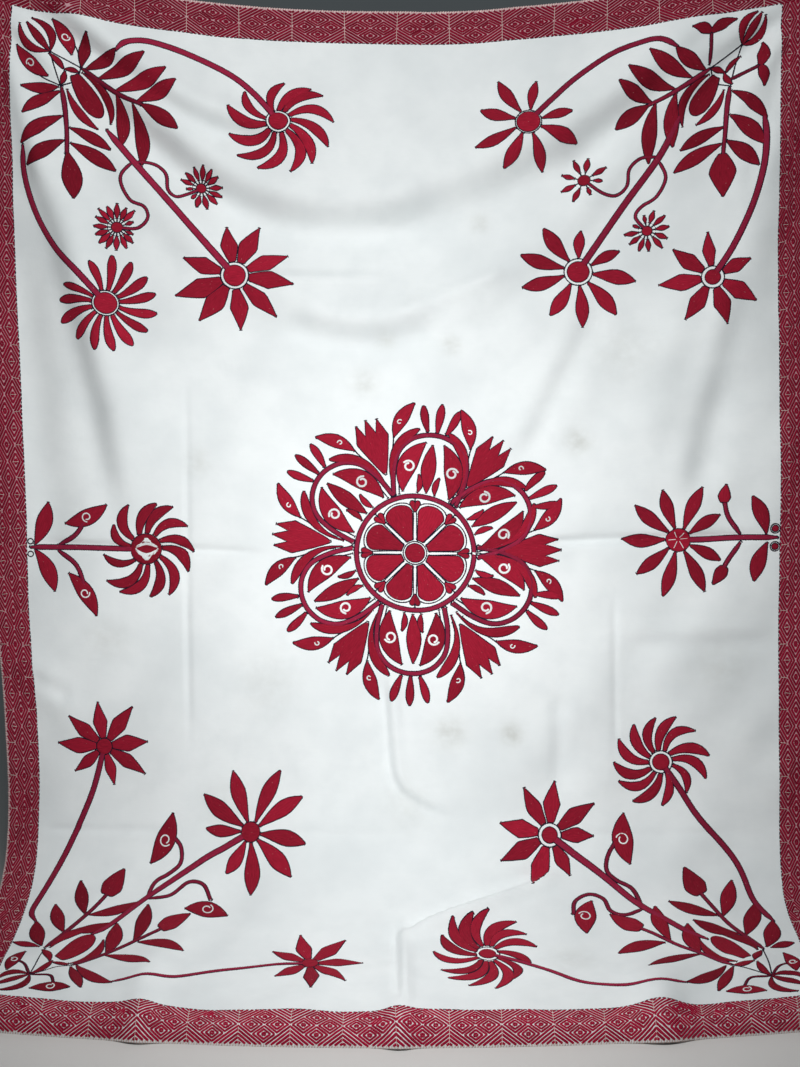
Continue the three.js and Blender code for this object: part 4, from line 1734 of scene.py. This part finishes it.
# In and on a lobe. A leaf is the reach and turn of its ends, its width, bend and outline, and a curl the
# reach and turn of its middle, its radius, turns and thread. Turns and bends are for the left of an axis.
LOBE_LEAF = ((118, 0), (212, 1), 27, 0.02, LENS)
LOBE_SLIVER = ((117, 8), (153, 7.5), 11, -0.1, LENS)
LOBE_BUD = ((215, 4.5), (121, 21), 35, -0.13, LENS)
LOBE_CURL = ((168, 14), 11.5, 1.3, 5.0)
LOBE_STALK = ((117, 24.5), (150, 21.5), (174, 19.5), (184, 17), (182, 14))
LOBE_FINGER = ((236, 4.2), (286, 6.8), 14.5, 0.03, FINGER)
LOBE_CROWN = ((236, 0), (292, 0), 15, 0.0, FINGER)
# A tulip: its ends, width and points, the depth of its notches, and the power by which it widens.
TULIP_ENDS = ((158, 0), (272, 0))
TULIP_WIDTH, TULIP_POINTS, TULIP_NOTCH, TULIP_RISE = 62, 3, 0.26, 0.85
TULIP_BLADE = ((136, 2.5), (240, 22), 18, -0.19, BLADE)
TULIP_BUD = ((226, 10), (290, 20), 25, -0.08, LENS)
TULIP_CURL = ((254, 13.5), 5.0, 0.9, 3.4)
TULIP_STALK = ((150, 4), (190, 7), (220, 9.5), (246, 10.5), (258, 12))


class Axis(NamedTuple):
    """A way out from the medallion's centre. A side of 1 is on its left, and -1 on its right."""

    sew: Sewing
    turn: float

    def path(self, places, side=1):
        """Flat places for reaches and turns from the axis."""
        return [polar(MEDALLION, reach, self.turn + turn * side) for reach, turn in places]

    def leaf(self, leaf, side=1):
        """Sews a leaf."""
        root, tip, width, bend, shape = leaf
        self.sew.leaf(*self.path((root, tip), side), width, bend * side, shape)

    def curled_bud(self, bud, curl, stalk, side):
        """Sews a bud, the white curl on it and its stalk."""
        self.leaf(bud, side)
        middle, radius, turns, width = curl
        start = self.turn + 90 * side
        self.sew.curl(*self.path((middle,), side), radius, start, turns * side, width, outline=True)
        self.sew.line(self.path(stalk, side))


def sew_inner_flower(sew):
    """Eight round petals in a ring, each in a white gap, with hearts between them."""
    step = 360 / INNER_PETALS
    for petal in range(INNER_PETALS):
        turn = step / 2 + step * petal
        root, tip = polar(MEDALLION, PETAL_ROOT, turn), polar(MEDALLION, PETAL_REACH, turn)
        sew.leaf(root, tip, PETAL_WIDTH * sew.uneven(PETAL_WIDTH_SPREAD), 0.0, ROUND_PETAL)
        gap_tip = polar(MEDALLION, PETAL_REACH + PETAL_GAP, turn)
        sew.leaf(root, gap_tip, PETAL_WIDTH + 2 * PETAL_GAP, 0.0, ROUND_PETAL, fill=False)
        between = step * petal
        for side in (-1, 1):
            heart_root = polar(MEDALLION, HEART_ROOT, between)
            heart_tip = polar(MEDALLION, HEART_TIP, between + HEART_SPREAD * side)
            sew.leaf(heart_root, heart_tip, HEART_WIDTH, HEART_BEND * side, ROUND_PETAL)
        sew.line([polar(MEDALLION, reach, between) for reach in HEART_TAIL])
    sew.disc(MEDALLION, CORE)
    sew.ring(MEDALLION, CORE_RING)
    turns = np.linspace(0, 360, RING_STEPS + 1)
    line = np.array([polar(MEDALLION, RING_MIDDLE, turn) for turn in turns])
    sew.strip(line, np.full(len(line), RING_WIDTH / 2), outline=False, banded=True)
    sew.ring(MEDALLION, RING_MIDDLE - RING_WIDTH / 2)
    sew.ring(MEDALLION, RING_MIDDLE + RING_WIDTH / 2)


def sew_lobe(axis):
    """One arched lobe with a leaf and two curled buds inside, and three fingers on its top."""
    arch = LOBE_ARCH + tuple((reach, -turn) for reach, turn in LOBE_ARCH[-2::-1])
    axis.sew.stem(axis.path(arch), LOBE_BAND, pointed=False)
    axis.leaf(LOBE_LEAF)
    for side in (-1, 1):
        axis.leaf(LOBE_SLIVER, side)
        axis.curled_bud(LOBE_BUD, LOBE_CURL, LOBE_STALK, side)
        axis.leaf(LOBE_FINGER, side)
    axis.leaf(LOBE_CROWN)


def sew_tulip(axis):
    """A tulip between two lobes, with a blade and a curled bud on each side."""
    axis.sew.fan(*axis.path(TULIP_ENDS), TULIP_WIDTH, TULIP_POINTS, TULIP_NOTCH, TULIP_RISE)
    for side in (-1, 1):
        axis.leaf(TULIP_BLADE, side)
        axis.curled_bud(TULIP_BUD, TULIP_CURL, TULIP_STALK, side)


class QUILT_OT_medallion(bpy.types.Operator):
    """Sew the round medallion in the middle of the quilt"""

    bl_idname = "quilt.medallion"
    bl_label = "Sew medallion"

    def execute(self, context):
        sew = Sewing(MEDALLION_SEED, MEDALLION_TONE)
        sew_inner_flower(sew)
        for turn, following in zip(LOBE_TURNS, LOBE_TURNS[1:] + (LOBE_TURNS[0] - 360,)):
            sew_lobe(Axis(sew, turn))
            sew_tulip(Axis(sew, (turn + following) / 2))
        finish_sewing("medallion", sew)
        return {"FINISHED"}


class Diamond(NamedTuple):
    """A diamond of the border: its middle and reach in half cells, its rings of rows, and their gap."""

    along: float
    over: float
    reach_along: float
    reach_over: float
    rings: int
    gap: float


class Vein(NamedTuple):
    """A pale line across the border, as shares of half a cell."""

    along: float
    low: float
    high: float


# Four small diamonds in a large one, and a net of long diamonds. Those on a seam fill both its cells.
SMALL_MIDDLES = ((0, -0.5), (0, 0.5), (-0.5, 0), (0.5, 0))
FOUR_IN_ONE = (
    *(Diamond(along, over, 0.5, 0.5, 3, 0.08) for along, over in SMALL_MIDDLES),
    *(Diamond(1, over, 1, 1, 5, 0.15) for over in (-1, 1)),
)
LONG_MIDDLES = ((0, -0.52), (0, 0.52), (1, 0), (1, -1.04), (1, 1.04))
LONG_NET = tuple(Diamond(along, over, 1, 0.52, 3, 0.12) for along, over in LONG_MIDDLES)
LONG_VEINS = (Vein(1, -1, 1),)
SHORT_VEINS = (Vein(0, -0.7, -0.34), Vein(0, 0.34, 0.7), Vein(1, -1, -0.55), Vein(1, 0.55, 1))


class BorderSide(NamedTuple):
    """A side of the border: its first corner, the way along it and across it, and its cells."""

    name: str
    start: tuple
    along: tuple
    over: tuple
    length: float
    cells: int
    pattern: tuple
    veins: tuple
    # Tone paints the side's thread lighter or darker as painted light: darker on the top side as painted
    # shade, lighter on the bottom side.
    tone: float = 1.0


SIDE_LENGTH = LENGTH - 2 * BORDER
# The last number of the top and bottom sides is painted light on their thread: 0.88 darkens the top as
# painted shade, 1.45 lightens the bottom.
BORDER_SIDES = (
    BorderSide("top", (-HALF_WIDTH, 0), (1, 0), (0, 1), WIDTH, 16, FOUR_IN_ONE, LONG_VEINS, 0.88),
    BorderSide("bottom", (-HALF_WIDTH, LENGTH), (1, 0), (0, -1), WIDTH, 18, FOUR_IN_ONE, LONG_VEINS, 1.45),
    BorderSide("left", (-HALF_WIDTH, BORDER), (0, 1), (1, 0), SIDE_LENGTH, 32, LONG_NET, SHORT_VEINS),
    BorderSide("right", (HALF_WIDTH, BORDER), (0, 1), (-1, 0), SIDE_LENGTH, 32, LONG_NET, SHORT_VEINS),
)
# Stitches of the border: heights in metres, the rest in millimetres and shares.
BAR_RISE = 0.0011
VEIN_RISE = 0.0017
VEIN_WIDTH = 1.15
HEM_CLEAR = 2.5
SHORTEST_ROW = 1.6
SHORTEST_RUN = 1e-6
BAR_OVERLAP, BAR_UNEVENNESS, BAR_SEED = 1.06, 0.05, 3
VEIN_UNEVENNESS, VEIN_SEED = 0.1, 5
ROW_WANDER, VEIN_WANDER = 0.2, 1.6
BORDER_HAND = 71
# The dark line along the border, in millimetres off it, and its stitches by an outline stitch.
INKED_OFF, INKED_GAP = 0.8, 0.05
INKED_SPACING, INKED_LENGTH, INKED_WIDTH = 1.6, 1.2, 0.75
INKED_UNEVENNESS, INKED_SEED = 0.3, 9
EDGE_STEP = 20


def diamond_rows(reach, rings):
    """Stitch rows in rings round the middle of a diamond, as pairs of ends."""
    rows = []
    for ring in range(rings):
        share = (ring + 0.5) / rings
        corners = [(share, 0), (0, share), (-share, 0), (0, -share), (share, 0)]
        rows.extend(zip(corners, corners[1:]))
    return np.array(rows) * reach


def half_cell(side):
    """Half the length and half the width of a cell of a border side."""
    return np.array((side.length / side.cells / 2, (BORDER - HEM_CLEAR) / 2))


def cell_place(side, number, along, over):
    """A place in a numbered cell, as shares of half a cell from its middle."""
    return half_cell(side) * (2 * number + 1 + along, 1 + over) + (0, HEM_CLEAR)


def row_points(side, rows, wide):
    """Middles of a side's rows, with the turn, length and width of each, cut off at the side's edges."""
    low, high = np.array((0, HEM_CLEAR)), np.array((side.length, BORDER))
    start, run = rows[:, 0], rows[:, 1] - rows[:, 0]
    run = np.where(np.abs(run) < SHORTEST_RUN, SHORTEST_RUN, run)
    near = np.minimum((low - start) / run, (high - start) / run).max(axis=1).clip(0, 1)
    far = np.maximum((low - start) / run, (high - start) / run).min(axis=1).clip(0, 1)
    length = (far - near) * np.linalg.norm(run, axis=1)
    ways = np.array((side.along, side.over), float)
    middle = np.array(side.start) + (start + run * ((near + far) / 2)[:, None]) @ ways
    run = run @ ways
    turn = np.arctan2(-run[:, 1], run[:, 0])
    table = np.column_stack([middle[:, 0], -middle[:, 1], turn, length, wide])
    return table[length > SHORTEST_ROW]


def side_rows(side, hand):
    """A side's rows of stitches, in rings round its diamonds."""
    rows, wide = [], []
    for number in range(-1, side.cells):
        for diamond in side.pattern:
            reach = half_cell(side) * (diamond.reach_along, diamond.reach_over)
            pitch = reach[0] * reach[1] / math.hypot(*reach) / diamond.rings
            middle = cell_place(side, number, diamond.along, diamond.over)
            rings = diamond_rows(reach, diamond.rings) + middle
            rows.append(rings)
            wide.extend([pitch * (1 - diamond.gap)] * len(rings))
    rows = np.concatenate(rows)
    return row_points(side, rows + hand.uniform(-ROW_WANDER, ROW_WANDER, rows.shape), wide)


def side_veins(side, hand):
    """A side's pale lines across."""
    rows = []
    for number in range(side.cells):
        for vein in side.veins:
            rows.append([cell_place(side, number, vein.along, over) for over in (vein.low, vein.high)])
    rows = np.array(rows)
    rows = rows + hand.uniform(-VEIN_WANDER, VEIN_WANDER, rows.shape)
    return row_points(side, rows, [VEIN_WIDTH] * len(rows))


def row_mesh(table):
    """Points that carry the turn, length and width of a row each."""
    mesh = bpy.data.meshes.new("border_rows")
    places = np.column_stack([table[:, :2], np.zeros(len(table))]) * MM
    mesh.from_pydata(places.tolist(), [], [])
    for label, value in (("turn", table[:, 2]), ("run", table[:, 3] * MM), ("wide", table[:, 4] * MM)):
        mesh.attributes.new(label, "FLOAT", "POINT").data.foreach_set("value", value.astype(np.float32))
    return mesh


def border_thread_shape():
    """Two strands side by side, lower at their ends."""
    middle = ((0.5, -0.06), (0.28, 0.95), (-0.24, 1.0), (-0.5, -0.06))
    ends = tuple((0.86 * over, 0.55 * height if height > 0 else height) for over, height in middle)
    body = tuple((along, middle) for along in (-0.42, -0.15, 0.15, 0.42))
    return thread_shape("border_stitch", ((-0.5, ends), *body, (0.5, ends)))


def inked_edge(side):
    """The dashed dark line along the inner edge of a border side, as a narrow loop."""
    start = np.array(side.start) + np.array(side.over) * (BORDER + INKED_OFF)
    inset = BORDER if side.length == WIDTH else 0
    along = np.array(side.along)
    line = spline([start + along * inset, start + along * (side.length - inset)], EDGE_STEP)
    return np.concatenate([line, line[::-1] + INKED_GAP])


class QUILT_OT_border(bpy.types.Operator):
    """Sew the border's rows of stitches, its pale lines and the dark line along its inner edge"""

    bl_idname = "quilt.border"
    bl_label = "Sew border"

    def execute(self, context):
        cloth = hanging_cloth()
        thread = context.scene.quilt_thread
        hand = np.random.default_rng(BORDER_HAND)
        for side in BORDER_SIDES:
            name = "border_" + side.name
            # Each side's tone is painted light on its thread, darker at the top and lighter at the bottom.
            stitches = sewn_stitches(
                name, row_mesh(side_rows(side, hand)), point_stitch_tree(), border_thread_shape(), cloth,
                Size=(BAR_OVERLAP, 1.0, BAR_RISE), Unevenness=BAR_UNEVENNESS, Tone=side.tone,
                Seed=BAR_SEED, Material=finished("red_stitches"),
            )
            add_piece(name, stitches, "red_stitches")
        veins = np.concatenate([side_veins(side, hand) for side in BORDER_SIDES])
        lines = sewn_stitches(
            "border_veins", row_mesh(veins), point_stitch_tree(), border_thread_shape(), cloth,
            Size=(1.0, 1.0, VEIN_RISE), Unevenness=VEIN_UNEVENNESS,
            Seed=VEIN_SEED, Material=finished("edge_thread"),
        )
        add_piece("border_veins", lines, "edge_thread")
        edges = flat_lines_mesh("border_inner_line", [inked_edge(side) for side in BORDER_SIDES])
        length, width = thread.outline_pitch * INKED_LENGTH, thread.outline_width * INKED_WIDTH
        dashes = sewn_stitches(
            "border_inner_line", edges, line_stitch_tree(), outline_thread_shape(), cloth,
            Spacing=thread.outline_pitch * INKED_SPACING, Size=(length, width, OUTLINE_RISE),
            Unevenness=INKED_UNEVENNESS, Seed=INKED_SEED, Material=finished("outline_thread"),
        )
        add_piece("border_inner_line", dashes, "outline_thread")
        return {"FINISHED"}


# One overcast stitch, in millimetres: how far it goes in from the edge and out past it, its half height
# and the middle of that, its half width, the lift of its middle and the lean from its front to its back.
OVERCAST_IN, OVERCAST_OUT = 2.6, 1.9
OVERCAST_RISE, OVERCAST_MIDDLE = 1.35, 1.0
OVERCAST_WIDTH, OVERCAST_LIFT, OVERCAST_LEAN = 1.05, 0.45, 2.5
OVERCAST_SECTIONS = 7
OVERCAST_UNEVENNESS, OVERCAST_SEED = 0.16, 13


def overcast_thread_shape():
    """One overcast stitch: it goes slantwise from the front over the edge to the back."""
    width, lifted = OVERCAST_WIDTH * MM, OVERCAST_LIFT * MM
    points = []
    for turn in np.linspace(0, 180, OVERCAST_SECTIONS):
        out, lift = math.sin(math.radians(turn)), math.cos(math.radians(turn))
        lean = OVERCAST_LEAN * MM * (0.5 - turn / 180)
        inner = OVERCAST_IN * (abs(turn - 90) / 90) ** 3
        over = (inner - OVERCAST_OUT * out) * MM
        height = (OVERCAST_RISE * lift - OVERCAST_MIDDLE) * MM
        points.append((lean + width, over, height))
        points.append((lean, over - lifted * out, height + lifted * lift))
        points.append((lean - width, over, height))
    return helper_object("overcast_stitch", np.array(points), grid_faces(OVERCAST_SECTIONS, 3))


class QUILT_OT_hem(bpy.types.Operator):
    """Overcast the outer edge of the quilt"""

    bl_idname = "quilt.hem"
    bl_label = "Overcast hem"

    def execute(self, context):
        left, right = -HALF_WIDTH, HALF_WIDTH
        corners = ((left, 0), (left, LENGTH), (right, LENGTH), (right, 0), (left, 0))
        sides = [spline([near, far], EDGE_STEP)[:-1] for near, far in zip(corners, corners[1:])]
        edge = flat_lines_mesh("hem_overcast", [np.concatenate(sides)])
        stitches = sewn_stitches(
            "hem_overcast", edge, line_stitch_tree(), overcast_thread_shape(), hanging_cloth(),
            Spacing=context.scene.quilt_thread.hem_pitch, Size=(1.0, 1.0, 1.0),
            Unevenness=OVERCAST_UNEVENNESS, Seed=OVERCAST_SEED, Material=finished("edge_thread"),
        )
        add_piece("hem_overcast", stitches, "edge_thread")
        return {"FINISHED"}


# The stage, in metres. A light is its name, the setting for its power, its size, place and aim.
FLOOR_SIZE = 14.0
FLOOR_LINES = 15
SENSOR = 36.0
ROOM_LIGHT = (0.82, 0.94, 1.0, 1.0)
LIGHTS = (
    ("front_light", "front", 0.4, (0.0, -0.89, -0.97), (0.0, 0.0, -0.97)),
    ("top_light", "top", 0.5, (-0.12, -1.68, 0.9), (0.0, 0.0, -0.5)),
)


class QUILT_OT_stage(bpy.types.Operator):
    """Set the floor, the light and the camera"""

    bl_idname = "quilt.stage"
    bl_label = "Set stage"

    def execute(self, context):
        scene = context.scene
        stage = scene.quilt_stage
        lines = np.linspace(-FLOOR_SIZE / 2, FLOOR_SIZE / 2, FLOOR_LINES)
        across, back = np.meshgrid(lines, lines)
        level = np.full(across.size, CAD_BOX[0][2])
        points = np.stack([across.ravel(), back.ravel(), level], axis=1)
        mesh = new_mesh("floor", points, grid_faces(FLOOR_LINES, FLOOR_LINES)[:, ::-1])
        mesh.materials.append(finished("pale_floor"))
        floor = bpy.data.objects.new("floor", mesh)
        scene.collection.objects.link(floor)

        camera_data = bpy.data.cameras.new("camera")
        camera_data.lens = stage.lens
        camera_data.sensor_width = SENSOR
        camera = bpy.data.objects.new("camera", camera_data)
        camera.location = stage.camera
        camera.rotation_euler = (math.pi / 2 - stage.dip, 0, 0)
        scene.collection.objects.link(camera)
        scene.camera = camera

        for name, setting, size, place, aim in LIGHTS:
            self.add_light(scene, name, getattr(stage, setting), size, place, aim)
        world = bpy.data.worlds.new("studio")
        world.use_nodes = True
        room = world.node_tree.nodes["Background"].inputs
        room["Color"].default_value = ROOM_LIGHT
        room["Strength"].default_value = stage.fill
        scene.world = world
        scene.view_settings.view_transform = "Standard"
        return {"FINISHED"}

    @staticmethod
    def add_light(scene, name, power, size, place, aim):
        """A square soft light that looks at a point."""
        light_data = bpy.data.lights.new(name, "AREA")
        light_data.energy = power
        light_data.size = size
        light = bpy.data.objects.new(name, light_data)
        light.location = place
        way = np.array(aim) - np.array(place)
        turn = math.atan2(-way[0], way[1])
        light.rotation_euler = (math.atan2(math.hypot(way[0], way[1]), -way[2]), 0, turn)
        light.visible_camera = False
        scene.collection.objects.link(light)


class QUILT_PT_panel(bpy.types.Panel):
    """Buttons for the quilt's steps, and its settings"""

    bl_idname = "QUILT_PT_panel"
    bl_label = "Kantha quilt"
    bl_space_type = "VIEW_3D"
    bl_region_type = "UI"
    bl_category = "Quilt"

    def draw(self, context):
        for operator in OPERATORS:
            self.layout.operator(operator.bl_idname)
        for label in GROUPS:
            group = getattr(context.scene, label)
            box = self.layout.box()
            for setting in group.bl_rna.properties.keys():
                if setting not in ("rna_type", "name"):
                    box.prop(group, setting)


OPERATORS = (
    QUILT_OT_cloth,
    QUILT_OT_border,
    QUILT_OT_hem,
    QUILT_OT_medallion,
    QUILT_OT_sprays,
    QUILT_OT_side_flowers,
    QUILT_OT_stage,
)
GROUPS = {"quilt_cloth": QuiltCloth, "quilt_thread": QuiltThread, "quilt_stage": QuiltStage}


def register():
    for group in GROUPS.values():
        bpy.utils.register_class(group)
    for operator in OPERATORS:
        bpy.utils.register_class(operator)
    bpy.utils.register_class(QUILT_PT_panel)
    for label, group in GROUPS.items():
        setattr(bpy.types.Scene, label, bpy.props.PointerProperty(type=group))


def unregister():
    for label in GROUPS:
        delattr(bpy.types.Scene, label)
    for kind in (QUILT_PT_panel, *OPERATORS, *GROUPS.values()):
        bpy.utils.unregister_class(kind)


def main():
    register()
    bpy.ops.quilt.cloth()
    bpy.ops.quilt.border()
    bpy.ops.quilt.hem()
    bpy.ops.quilt.medallion()
    bpy.ops.quilt.sprays()
    bpy.ops.quilt.side_flowers()
    bpy.ops.quilt.stage()


if __name__ == "__main__":
    main()
